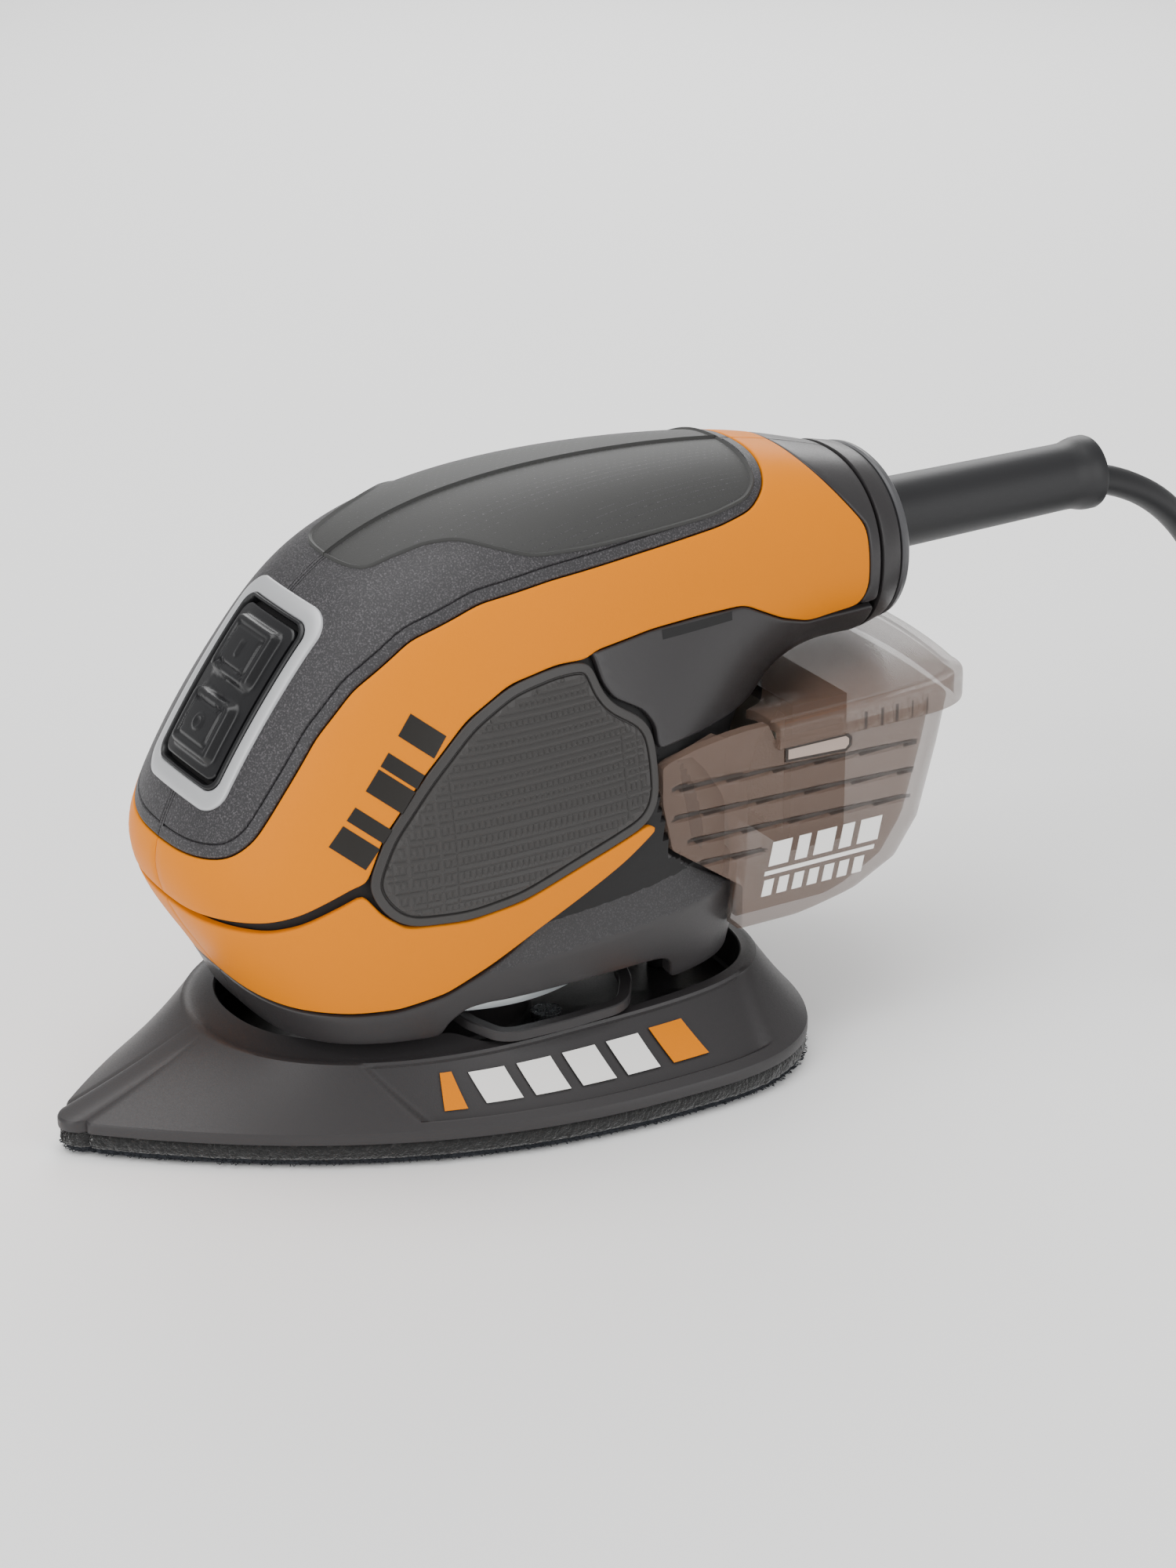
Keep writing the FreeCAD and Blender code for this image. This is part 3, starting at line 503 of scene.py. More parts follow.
def loop_of(chains, radius=2.0, spacing=1.0):
    """Closed loop on the surface from side-view chains, joined along the crest x = 0 where they leave the
    silhouette. Gives t, turn and how much each edge after a point is inset."""
    ts, turns, scales, parts = [], [], [], []
    for points in chains:
        fine = eased(points, radius)
        t, turn, inside = from_side(fine)
        keep = np.nonzero(inside)[0]
        first, last = max(keep[0] - 1, 0), min(keep[-1] + 1, len(fine) - 1)
        solid = resample(surface(t[first:last + 1], turn[first:last + 1]), spacing)
        t, turn = from_point(solid)
        for end in (0, -1):
            if abs(solid[end][0]) < 0.5:
                turn[end] = 0.0 if abs(turn[end]) < 1.5 else math.pi
        parts.append((t, turn))
    for k, (t, turn) in enumerate(parts):
        ts += list(t)
        turns += list(turn)
        after_t, after_turn = parts[(k + 1) % len(parts)]
        gap = np.linalg.norm(surface(t[-1:], turn[-1:]) - surface(after_t[:1], after_turn[:1]))
        scales += [1.0] * (len(t) - 1) + [CREST_SCALE]
        if gap > 1.5 * spacing:
            count = int(gap / spacing)
            for i in range(1, count):
                f = i / count
                ts.append(t[-1] + f * (after_t[0] - t[-1]))
                turns.append(turn[-1] + f * (after_turn[0] - turn[-1]))
                scales.append(CREST_SCALE)
        elif gap < 0.2:
            for values in (ts, turns, scales):
                values.pop()
            scales[-1] = 1.0
    return np.array(ts), np.array(turns), np.array(scales)


def inward(places, up, scales):
    """For each point of a closed loop, the in-surface step that insets both its edges by one unit."""
    n = len(places)
    side = unit(np.cross(up, unit(np.roll(places, -1, 0) - places)))
    area = sum(np.cross(places[i] - places[0], places[(i + 1) % n] - places[0]).dot(up[i]) for i in range(n))
    if area < 0:
        side = -side
    before = np.roll(side, 1, 0)
    s1, s2 = np.roll(scales, 1), scales
    dot = (before * side).sum(1)
    result = unit(before + side) * ((s1 + s2) / 2 / np.maximum(0.6, np.sqrt((1 + dot) / 2)))[:, None]
    for i in np.nonzero(dot < 0.9)[0]:
        a, b, c = before[i], side[i], dot[i]
        det = max(1 - c * c, 0.05)
        result[i] = a * ((s1[i] - c * s2[i]) / det) + b * ((s2[i] - c * s1[i]) / det)
    return result


PLANE_V = 34.0
LENGTH_T = np.arange(-10, (LAST + 1) * 10) / 10
LENGTHS = np.concatenate([[0], np.cumsum(np.linalg.norm(np.diff(surface(LENGTH_T, 0.7), axis=0), axis=1))])


def plane(t, turn):
    """The surface laid out flat, roughly to scale."""
    return np.stack([np.interp(t, LENGTH_T, LENGTHS), turn * PLANE_V], -1)


def within(points, polygon):
    """Even-odd test of 2-D points against a polygon."""
    x, y = points[:, 0][:, None], points[:, 1][:, None]
    ax, ay = polygon[:, 0][None], polygon[:, 1][None]
    bx, by = np.roll(polygon[:, 0], -1)[None], np.roll(polygon[:, 1], -1)[None]
    crosses = ((ay > y) != (by > y)) & (x < (bx - ax) * (y - ay) / (by - ay + 1e-15) + ax)
    return crosses.sum(1) % 2 == 1


def side_plane(t, turn):
    """The surface as it is seen from the side."""
    return surface(t, turn)[:, 1:]


def filling(t, turn, spacing, seeds=None):
    """Triangles inside a closed loop: (t, turn) of every point, loop first, and the triangles."""
    flatten = plane if seeds is None else side_plane
    ring = flatten(t, turn)
    if seeds is None:
        low, high = ring.min(0), ring.max(0)
        grid_u, grid_v = np.meshgrid(np.arange(low[0], high[0], spacing), np.arange(low[1], high[1], spacing))
        grid_u[::2] += spacing / 2
        seeds = (np.interp(grid_u.ravel(), LENGTHS, LENGTH_T), grid_v.ravel() / PLANE_V)
        margin = 0.6 * spacing
    else:
        margin = 0.35 * spacing
    spots = flatten(*seeds)
    ok = within(spots, ring)
    for start in range(0, len(spots), 4000):
        part = spots[start:start + 4000]
        near = np.sqrt(((part[:, None] - ring[None]) ** 2).sum(2)).min(1)
        ok[start:start + 4000] &= near > margin
    all_t = np.concatenate([t, seeds[0][ok]])
    all_turn = np.concatenate([turn, seeds[1][ok]])
    flat = flatten(all_t, all_turn)
    out = delaunay_2d_cdt([Vector(p) for p in flat], [], [list(range(len(t)))], 1, 1e-6)
    original = [ids[0] if ids else -1 for ids in out[3]]
    faces = []
    for face in out[2]:
        ids = [original[i] for i in face]
        if min(ids) >= 0 and len(set(ids)) == 3:
            faces.append(ids)
    return all_t, all_turn, faces, ok


EDGE = [(0.12, -1.2), (0.12, -0.4), (0.2, -0.17), (0.36, -0.04), (0.6, 0.0)]
RECESS_SIDE = 31.4


def set_back(points, side):
    """Where the dust box's cheeks pass, the body is no wider than side."""
    y, z = points[:, 1], points[:, 2]
    inside = (y > np.interp(z, [20, 35.6, 46, 57.8, 66.2], [42.2, 42.4, 27.4, 25.2, 25]) + 0.4) & (z < 66.2)
    points[inside, 0] = np.clip(points[inside, 0], -side, side)
    return points


def panel(name, loop, mat, nodes=(), slot=None, profile=EDGE, depth=1.2, height=None, spacing=1.5, seeds=None,
          seed_height=None, sharp=38, second=None):
    """A closed shell on the body's surface inside a loop, with a rounded edge, and its mirror image."""
    t, turn, scales = loop
    places = surface(t, turn)
    step = inward(places, normals(t, turn), scales)

    def raised(a, b, extra):
        at = surface(a, b)
        lift = extra + (height(at) if height else 0)
        return at + normals(a, b) * np.broadcast_to(lift, len(at))[:, None]

    rings = [raised(*from_point(places + step * inset), lift) for inset, lift in profile]
    n = len(t)
    inner_t, inner_turn = from_point(places + step * profile[-1][0])
    fill_t, fill_turn, tris, kept = filling(inner_t, inner_turn, spacing, seeds)
    extra = np.zeros(len(fill_t))
    if seed_height is not None:
        extra[n:] = seed_height[kept]
    top = raised(fill_t, fill_turn, extra)
    bottom = raised(fill_t, fill_turn, -depth)
    bottom[:n] = rings[0] * 0.5 + bottom[:n] * 0.5
    cloud = np.vstack(rings[:-1] + [top, bottom])
    base = (len(rings) - 1) * n
    low = base + len(top)
    faces = ring_faces(n, len(rings)) + [(low + i, low + (i + 1) % n, (i + 1) % n, i) for i in range(n)]
    wall = cloud[list(faces[0][:3])]
    if np.cross(wall[1] - wall[0], wall[2] - wall[0]).dot(-step[0]) < 0:
        faces = [tuple(reversed(f)) for f in faces]
    tri = np.array(tris)
    corner = top[tri]
    facing = np.cross(corner[:, 1] - corner[:, 0], corner[:, 2] - corner[:, 0])
    outward = (facing * normals(fill_t[tri[:, 0]], fill_turn[tri[:, 0]])).sum(1) > 0
    for face, out in zip(tris, outward):
        a, b, c = face if out else face[::-1]
        faces += [(base + a, base + b, base + c), (low + c, low + b, low + a)]
    pair(name, cloud, faces, mat, nodes=nodes, slot=slot, sharp=sharp, second=second)


COVER_EDGE = [(-58, 55.3), (-55.5, 55.9), (-52, 57.5), (-48.5, 61), (-43, 69), (-36.5, 78), (-29.5, 85.5),
              (-19, 93), (-6, 97.5), (8, 99.2), (26, 100.2), (45.5, 101), (53, 102), (58, 104.5), (61.5, 108),
              (62.5, 112)]
PAD_EDGE = [(-25, 101.2), (-21, 101.2), (-16, 103.2), (-10, 105), (-4.6, 105.6), (0.4, 104.2), (6, 102.5),
            (17, 102.2), (34, 102.3), (44.4, 102.4), (53, 103.3), (57.4, 105.4), (59.5, 112)]
GRIP_LOW = [(-30.7, 48), (-26.6, 45), (-15, 44.2), (-4.3, 45.6), (8.4, 50), (22, 54)]
GRIP_EDGE = [(-33.5, 53.5), (-29.5, 62), (-21.7, 71), (-12.5, 79.5), (-3.7, 84.2), (5.8, 85.8), (13, 85.4),
             (14, 80.5), (16.2, 77), (22.3, 73.4), (24.6, 70.3), (25, 65), (24.8, 58)] + GRIP_LOW[::-1]
BAND_TOP = [(-60, 42), (-54.4, 44.6), (-48.3, 45.6), (-44, 47.4), (-39.5, 50), (-34, 53)]
BAND_BOTTOM = [(-50, 28.4), (-42, 27.4), (-33.8, 27.2), (-26.3, 27.6), (-18, 29.6), (-9.6, 34), (-0.7, 39.2),
               (8.5, 44), (16.6, 48.2), (24, 52.6)]
REAR_TOP = [(13, 86.4), (26.4, 87.4), (37, 87.2), (48.3, 86.4), (57.9, 81.2), (65.4, 78.3)]
TAIL_EDGE = [(65.4, 78.3), (77.5, 78.6), (79, 82), (78.8, 94), (72.7, 102), (69, 107), (68, 114)]

groove_top = [(y, z + 0.3 + float(smoothstep(-59, -52, y))) for y, z in BAND_TOP]
upper_edge = TAIL_EDGE[::-1] + REAR_TOP[::-1][1:] + GRIP_EDGE[:7][::-1] + groove_top[::-1]
upper_loop = loop_of([COVER_EDGE, upper_edge], radius=1.5)
panel("housing_shell", upper_loop, "orange", nodes=["housing"], slot="orange_plastic")
groove_low = [(y, z - 0.7 * float(smoothstep(-59, -52, y))) for y, z in BAND_TOP]
band_chain = groove_low + GRIP_LOW + BAND_BOTTOM[::-1]
panel("lower_band_shell", loop_of([band_chain], radius=0.9), "orange", nodes=["lower_band"],
      slot="orange_plastic")


def pyramids(pitch=1.15, height=0.3):
    """A square lattice in side view with a raised point in every cell: (t, turn) and heights."""
    spots, lifts = [], []
    for row in range(-36, 28):
        for column in range(36, 80):
            y, z = row * pitch, column * pitch
            spots += [(y, z), (y + pitch / 2, z + pitch / 2)]
            lifts += [0.0, height]
    t, turn, inside = from_side(spots)
    return (t[inside], turn[inside]), np.array(lifts)[inside]


grip_seeds, grip_lifts = pyramids()
grip_profile = EDGE + [(1.7, 0.0), (1.8, -0.12), (1.95, -0.42), (2.1, -0.42), (2.3, 0.0)]
panel("grip_pad", closed_loop(GRIP_EDGE, radius=2.4), "grip", nodes=["side_grip"], slot="soft_grip",
      profile=grip_profile, seeds=grip_seeds, seed_height=grip_lifts, spacing=1.0, sharp=12)
cover_profile = EDGE + [(2.2, 0.0), (2.35, -0.12), (2.5, -0.4), (2.65, -0.12), (2.8, 0.0)]
pad_profile = [(0.0, -1.2), (0.1, -0.1), (0.3, 0.25), (0.6, 0.45), (1.0, 0.55)]
panel("palm_shell", loop_of([PAD_EDGE[::-1]], radius=1.5), "palm", nodes=["palm_pad"], slot="soft_grip",
      profile=pad_profile, spacing=0.8)
rear_chain = REAR_TOP + [(77.5, 77.6), (81.8, 77.6), (81.8, 69)]
rear_back = [(64, 66.4), (25.4, 66.4), (25.2, 70.8), (22.8, 74.2), (16.7, 77.7), (14.6, 80.9), (13.4, 85.9),
             (13, 86.4)]
panel("rear_shell", loop_of([rear_chain, rear_back], radius=1.0), "smooth_dark", nodes=["rear_panel"],
      slot="dark_smooth")
panel("tail_shell", loop_of([[(68, 114)] + TAIL_EDGE[::-1][1:-1] + [(77.5, 78.6), (81.8, 78.6), (81.8, 104)]],
                            radius=0.8), "smooth_dark", nodes=["tail_panel"], slot="dark_grained")


def make_liner():
    """Inner wall behind the gaps between the panels, its near-black colour painted shade in the gaps."""
    ts = np.linspace(0.75, LAST - 0.05, 120)
    turns = np.linspace(0, 2 * math.pi, 221)[:-1]
    rings = []
    for inset, order in ((1.5, ts), (3.0, ts[::-1])):
        side = RECESS_SIDE - inset + 1.4
        rings += [set_back(surface(np.full(len(turns), t), turns, inset), side) for t in order]
    tube("inner_liner", rings, "liner_shade", slot="dark_smooth")


make_liner()


# ---- base skirt ---------------------------------------------------------------------------------
def crease(y):
    """Height of the skirt's crease."""
    return 33 + 0.07 * (y + 0.6)


def skirt_swell(at):
    """The skirt stands out to a crease and slopes back in above it."""
    y, z = at[:, 1], at[:, 2]
    above = np.maximum(0, z - crease(y))
    below = np.maximum(0, crease(y) - z)
    return smoothstep(-16, 0, y) * (1.0 - 0.022 * below - np.minimum(0.42 * above, 2.6))


skirt_top = [(y, z - 0.45) for y, z in BAND_BOTTOM]
skirt_top += [(25.2, 52.2), (25.6, 50.6), (27.5, 46.3), (42.4, 36.0), (47, 35.4), (56, 35)]
SKIRT_Z = 19.8
skirt_foot = [(54, SKIRT_Z), (29.4, SKIRT_Z), (29, 20.3), (28.7, 23.6), (26.8, 25.2), (23, 25.6), (-9, 25.6),
              (-13.6, 25), (-16.6, 22.4), (-17.2, 20.3), (-17.8, SKIRT_Z), (-46, SKIRT_Z)]
panel("skirt_side", loop_of([skirt_top, skirt_foot], radius=0.9), "skirt_grain", slot="dark_smooth", depth=2.4,
      profile=[(0.15, -2.4), (0.15, -0.5), (0.25, -0.2), (0.5, -0.04), (0.8, 0.0)], height=skirt_swell,
      second=("smooth_dark", lambda c: c.z < crease(c.y) + 0.2), spacing=1.1, sharp=16)
for word in ("left", "right"):
    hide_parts("base_skirt")


# ---- switch -------------------------------------------------------------------------------------
SWITCH_MID = np.array([0, -41.3, 80.0])
FACE_UP = np.array([0, 16.98, 28.64]) / math.hypot(16.98, 28.64)
BOOT_FOOT = -3.2


def on_front(across, up, lift):
    """Points over the leaning front face, given across and up the face, lifted off the body's surface."""
    def front(t):
        my, mz, ay, az, reach, half, n_out, _ = frames_at(t)
        d = reach * (1 - np.abs(across / half) ** n_out) ** (1 / n_out)
        return d, np.stack([across, my + ay * d, mz + az * d], -1)

    low, high = np.full(len(up), 1.5), np.full(len(up), 9.0)
    t = bisect(low, high, lambda t: (front(t)[1] - SWITCH_MID) @ FACE_UP > up)
    d, at = front(t)
    return at + normals(t, np.arctan2(across, d)) * np.broadcast_to(lift, len(at))[:, None]


def rounded_rectangle(half_x, half_y, radius, count=120):
    """Points round a rounded rectangle: each corner's arc, then the straight to the next corner."""
    per = count // 8
    middles = np.array([(1, 1), (-1, 1), (-1, -1), (1, -1)]) * (half_x - radius, half_y - radius)
    points = []
    for k, middle in enumerate(middles):
        turns = np.radians(90 * k + 90 * np.arange(per + 1) / per)
        arc = radius * np.column_stack([np.cos(turns), np.sin(turns)])
        start, end = middle + arc[-1], middles[(k + 1) % 4] + arc[-1]
        points += [middle + arc, start + np.arange(1, per)[:, None] / per * (end - start)]
    return np.vstack(points)


def front_frame(name, outer, inner, profile, mat, node, slot):
    """A frame on the front face, its section going from the outer outline (share 0) to the inner one."""
    rings = [on_front(*(outer * (1 - share) + inner * share).T, lift) for share, lift in profile]
    tube(name, rings, mat, nodes=[node], slot=slot, sharp=50)


def rectangle_distance(x, y, half_x, half_y, radius):
    qx, qy = np.abs(x) - half_x + radius, np.abs(y) - half_y + radius
    outside = np.hypot(np.maximum(qx, 0), np.maximum(qy, 0))
    return outside + np.minimum(np.maximum(qx, qy), 0) - radius


def boot_height(x, y):
    """Rubber boot: two raised square pads, each with a groove outline and a small raised mark."""
    lift = np.full(len(x), 0.15)
    for centre in (7.2, -7.2):
        d = rectangle_distance(x, y - centre, 6.9, 5.7, 1.5)
        lift += 1.5 * (1 - smoothstep(-0.9, 0.35, d))
        groove = np.abs(d + 2.1)
        lift -= 0.4 * (1 - smoothstep(0.15, 0.5, groove))
    lift += 0.28 * (1 - smoothstep(0.0, 0.4, rectangle_distance(x, y - 7.2, 0.35, 1.3, 0.3)))
    ring = np.abs(np.hypot(x, y + 7.2) - 1.15)
    lift += 0.28 * (1 - smoothstep(0.15, 0.5, ring))
    return lift


def make_boot():
    """The rubber pads over the rocker, which tilt with it."""
    edge = rounded_rectangle(9.4, 14.95, 2.2, 160)
    rings = [on_front(*(edge * share).T, BOOT_FOOT) for share in (0.02, 0.5, 1.0)]
    rings.append(on_front(*edge.T, boot_height(*edge.T) - 0.35))
    for share in np.linspace(0.985, 0.02, 44):
        flat = edge * share
        rings.append(on_front(*flat.T, boot_height(*flat.T)))
    stack("boot_pads", rings, "boot", body="switch", nodes=["switch_rocker"], slot="boot_rubber", sharp=60)


def switch_opening(loop):
    """The cover's loop led round the switch instead of straight along the crest."""
    t, turn, scales = loop
    half = rounded_rectangle(10.7, 16.4, 3.0, 240)
    half = half[half[:, 0] >= 0]
    half = half[np.argsort(np.arctan2(half[:, 1], half[:, 0] + 1e-6))]
    half = np.vstack([[0.0, -16.4], half[half[:, 0] > 0.3], [0.0, 16.4]])
    hole_t, hole_turn = from_point(resample(on_front(half[:, 0], half[:, 1], 0.0), 1.0))
    hole_turn[0] = hole_turn[-1] = 0.0
    places = surface(t, turn)
    on_crest = np.abs(places[:, 0]) < 0.02
    along = (places - SWITCH_MID) @ FACE_UP
    inside = np.nonzero(on_crest & (np.abs(along) < 17.0) & (places[:, 1] < 0))[0]
    first, last = inside[0], inside[-1]
    if along[first] > along[last]:
        hole_t, hole_turn = hole_t[::-1], hole_turn[::-1]
    return (np.concatenate([t[:first], hole_t, t[last + 1:]]),
            np.concatenate([turn[:first], hole_turn, turn[last + 1:]]),
            np.concatenate([scales[:first], np.ones(len(hole_t) - 1), [CREST_SCALE], scales[last + 1:]]))


cover_loop = switch_opening(loop_of([COVER_EDGE[::-1]], radius=1.5))
panel("cover_shell", cover_loop, "cover", nodes=["top_cover"], slot="dark_grained", profile=cover_profile)
front_frame("bezel_ring", rounded_rectangle(13.6, 20.0, 5.0), rounded_rectangle(10.95, 16.65, 3.0),
            [(0.0, -1.4), (0.0, 0.1), (0.05, 0.32), (0.14, 0.45), (0.5, 0.52), (0.86, 0.38), (0.95, 0.22),
             (1.0, -0.05), (1.0, -2.4), (0.7, -2.4)], "bezel", "switch_bezel", "bezel_grey")
make_boot()
front_frame("boot_surround", rounded_rectangle(10.9, 16.6, 3.0), rounded_rectangle(9.8, 15.8, 2.4),
            [(0.0, -4.2), (0.0, 0.25), (0.3, 0.5), (0.8, 0.4), (1.0, 0.0), (1.0, -4.2)], "boot",
            "switch_boot_frame", "boot_rubber")


# ---- platen -------------------------------------------------------------------------------------
TIP_Y, REAR_Y, WIDE_Y, PAD_HALF, TIP_R = -78.0, 64.0, 26.0, 47.0, 3.5
RIM_FRONT, RIM_REAR, RIM_HALF = -50.0, 56.0, 35.0
SLOPE_FOOT, SLOPE_RISE, SLOPE_HOLLOW = 6.25, 9.05, 1.7
LABEL_FRONT, LABEL_REAR, LABEL_DEPTH = -26.0, 41.0, 1.6
LIP_REACH, LIP_RISE = 3.4, 1.7
UNDER_MOTOR = (0.0, 2.0)
ECCENTRIC = 1.0


def pad_width(y, inset):
    half = PAD_HALF - inset
    tip, rear = TIP_Y + 1.5 * inset, REAR_Y - inset
    if y <= tip or y >= rear:
        return 0.0
    if y > WIDE_Y:
        return half * (1 - ((y - WIDE_Y) / (rear - WIDE_Y)) ** 2.9) ** (1 / 2.9)
    apex = tip - 0.41 * TIP_R
    side = half * (1 - ((WIDE_Y - y) / (WIDE_Y - apex)) ** 2.23)
    depth = min(y - tip, TIP_R)
    return min(side, math.sqrt(2 * TIP_R * depth - depth ** 2) + max(0.0, y - tip - TIP_R) * 50)


def rim_width(y, inset):
    front, rear = RIM_FRONT + inset, RIM_REAR - inset
    off = (y - (front + rear) / 2) / ((rear - front) / 2)
    if abs(off) >= 1:
        return 0.0
    n = 2.2 if off < 0 else 4.0
    return (RIM_HALF - inset) * (1 - abs(off) ** n) ** (1 / n)


def whole_outline(width, inset, steps=180):
    """Closed outline (x, y) at set angles about the shaft, closer together near the front point."""
    half = []
    for k in range(steps + 1):
        turn = math.pi * (k / steps) ** 1.5 - math.pi / 2
        inside, outside = 0.0, 150.0
        for _ in range(40):
            r = (inside + outside) / 2
            if r * math.cos(turn) < width(r * math.sin(turn), inset):
                inside = r
            else:
                outside = r
        half.append((0.0 if k in (0, steps) else inside * math.cos(turn), inside * math.sin(turn)))
    return np.array(half + [(-x, y) for x, y in reversed(half[1:-1])])


PAD_RING = whole_outline(pad_width, 0)
RIM_RING = whole_outline(rim_width, 0)


def slope_place(share):
    """Part way up the slope: plan places and height."""
    return PAD_RING * (1 - share) + RIM_RING * share, SLOPE_FOOT + share * (SLOPE_RISE + SLOPE_HOLLOW * share)


def label_recess(flat, share):
    """Depth of the shallow recess for the side labels, on both sides."""
    y = flat[:, 1]
    front, rear = LABEL_FRONT - 9 * (share - 0.2), LABEL_REAR + 3 * share
    along = smoothstep(front, front + 2.4, y) * (1 - smoothstep(rear, rear + 3.6, y))
    return along * smoothstep(0.14, 0.17, share) * (1 - smoothstep(0.97, 1.0, share))


def toward(flat, middle, step):
    """Plan points moved towards a middle point."""
    return flat + unit(np.array(middle) - flat) * np.broadcast_to(step, len(flat))[:, None]


def outlines(width, insets, steps=180):
    """Rings of the pad or the rim from (inset, height) pairs."""
    return [level(whole_outline(width, inset, steps), z) for inset, z in insets]


def make_platen():
    """Foot, slope with the label recess, rim with the lip under the skirt, well, and the bearing's seat."""
    rings = outlines(pad_width, [(3.0, 4.0), (0.4, 4.0), (0.05, 4.25), (0, 4.6), (0, 5.9), (0.1, 6.15)])
    for share in np.linspace(0.012, 0.985, 60):
        flat, z = slope_place(share)
        drop = LABEL_DEPTH * label_recess(flat, share)
        rings.append(level(toward(flat, (0.0, 20.0), 0.45 * drop), z - 0.55 * drop))
    rings += outlines(rim_width, [(0.35, 16.95), (0.9, 17.0), (2.1, 17.0)])
    ahead = 1 - smoothstep(-22, -10, PAD_RING[:, 1])
    rise = LIP_RISE * ahead
    lip = toward(whole_outline(rim_width, 2.3), UNDER_MOTOR, LIP_REACH * ahead)
    back = toward(lip, UNDER_MOTOR, 0.25)
    rings += [level(lip, 17.05 + rise), level(back, 16.9 + rise), level(back, 15.9 + 0.8 * rise)]
    rings += outlines(rim_width, [(2.5, 15.2), (2.6, 9.4), (3.2, 9.0)])
    angles = np.arctan2(PAD_RING[:, 1], PAD_RING[:, 0])
    circle = np.column_stack([np.cos(angles), np.sin(angles)])
    seat = [(15.6, 9.0), (15.0, 9.6), (15.0, 18.6), (14.6, 19.0), (11.3, 19.0), (11.02, 18.7), (11.02, 11.5),
            (6.0, 11.5), (6.0, 6.0)]
    rings += [level(np.array([ECCENTRIC, 0.0]) + circle * radius, z) for radius, z in seat]
    stack("platen_body", rings, "platen", body="platen", nodes=["platen_shell"], slot="platen_plastic",
          sharp=30)


def slope_point(y, share, lift):
    """A place on the +X slope at y, lifted off it."""
    side, z = slope_place(share)
    half = side[:len(side) // 2 + 1]
    return np.interp(y, half[:, 1], half[:, 0]) - 0.5 + 0.72 * lift, y, z - 0.52 + 0.69 * lift


def slope_mark(name, corners, mat, count=10):
    """A thin printed shape on both slopes, from its corners (y, share)."""
    places = corner_grid(corners, count)
    points = [slope_point(y, share, lift) for lift in (-0.05, 0.07) for y, share in places]
    pair(name, points, sheet_faces(count), mat, body="platen")


def make_foam():
    """The foam layer, with a rough cut edge."""
    rng = np.random.default_rng(4)
    rings = []
    insets = [(2.5, 1.2), (0.9, 1.0), (0.5, 1.15), (0.35, 1.7), (0.3, 2.3), (0.35, 2.9), (0.4, 3.4), (0.6, 3.9)]
    for inset, z in insets:
        flat = whole_outline(pad_width, inset, 420)
        if 0.3 <= inset <= 0.9:
            flat = flat * (1 + rng.uniform(-0.0045, 0.0025, len(flat)))[:, None]
        rings.append(level(flat, z))
    stack("foam_layer", rings, "foam", body="platen", nodes=["foam_pad"], slot="foam", sharp=70)


def make_hooks():
    """The hook layer's sheet with short bent loops standing out along its edge."""
    rng = random.Random(9)
    outline = whole_outline(pad_width, 0.9, 600)
    outline = resample(np.vstack([outline, outline[:1]]), 0.62)[:-1]
    ahead = unit(np.roll(outline, -1, 0) - np.roll(outline, 1, 0))
    points, faces = [], []
    for spot, along in zip(outline, ahead):
        a, o = np.array([*along, 0.0]), np.array([along[1], -along[0], 0.0])
        for strand in range(2):
            reach = rng.uniform(0.4, 1.25)
            lean = rng.uniform(-0.7, 0.7)
            low = rng.uniform(0.15, 0.75)
            root = np.array([*spot, low]) + a * rng.uniform(-0.3, 0.3)
            base = len(points)
            for f in np.linspace(0, 1, 6):
                bend = math.pi * f
                at = root + o * (reach * math.sin(bend * 0.8)) + a * (lean * f)
                at[2] = max(at[2] + 0.225 * (1 - math.cos(bend)) - 0.25 * f * strand, 0.1)
                points += [at + a * side + np.array([0, 0, rise])
                           for side, rise in ((0.07, 0.0), (-0.035, 0.06), (-0.035, -0.06))]
            faces += ring_faces(3, 6, start=base)
            faces += [(base + 2, base + 1, base), (base + 15, base + 16, base + 17)]
    piece("hook_fringe", points, faces, "hooks", body="platen", slot="hook_loop", sharp=0)
    sheet = outlines(pad_width, [(1.1, 0.0), (0.85, 0.25), (0.82, 0.7), (1.0, 0.98)], 300)
    stack("hook_layer", sheet, "hooks", body="platen", nodes=["hook_sheet"], slot="hook_loop")


def make_loop():
    """The bar that stands out beside the arch on the +X side: a bowed flat bar on two arms that rise inwards."""
    path = [(25.5, -11.5, 20.6), (28.8, -10.6, 19.9), (33.2, -7.4, 18.7), (34.4, -4.6, 18.6), (34.9, 5.5, 18.6),
            (34.4, 15.6, 18.6), (33.2, 18.4, 18.7), (28.8, 21.6, 19.9), (25.5, 22.5, 20.6)]
    path = eased(path, 0.9)[::2]
    section = [(-0.95, -1.0), (0.95, -1.0), (1.15, -0.8), (1.15, 0.8), (0.95, 1.0), (-0.95, 1.0), (-1.15, 0.8),
               (-1.15, -0.8)]
    rings = []
    for i, spot in enumerate(path):
        heading = path[min(i + 1, len(path) - 1)] - path[max(i - 1, 0)]
        side = unit(np.cross(heading, [0, 0, 1]))
        rise = unit(np.cross(side, heading))
        rings.append([spot + side * a + rise * b for a, b in section])
    stack("loop_bar", rings, "smooth_dark", body="platen", nodes=["platen_loop"], slot="platen_plastic")


make_platen()
make_foam()
make_hooks()
make_loop()
slope_mark("label_bar_front", [(-20.5, 0.3), (-16.5, 0.3), (-17.5, 0.82), (-19.5, 0.82)], "orange")
for k in range(4):
    y0 = -13.0 + 9.0 * k
    slope_mark("label_stripe_%d" % k, [(y0, 0.34), (y0 + 6.6, 0.34), (y0 + 5.0, 0.78), (y0 - 1.6, 0.78)],
               "print_light")
slope_mark("label_bar_rear", [(23.5, 0.34), (31.0, 0.34), (28.5, 0.8), (21.5, 0.8)], "orange")

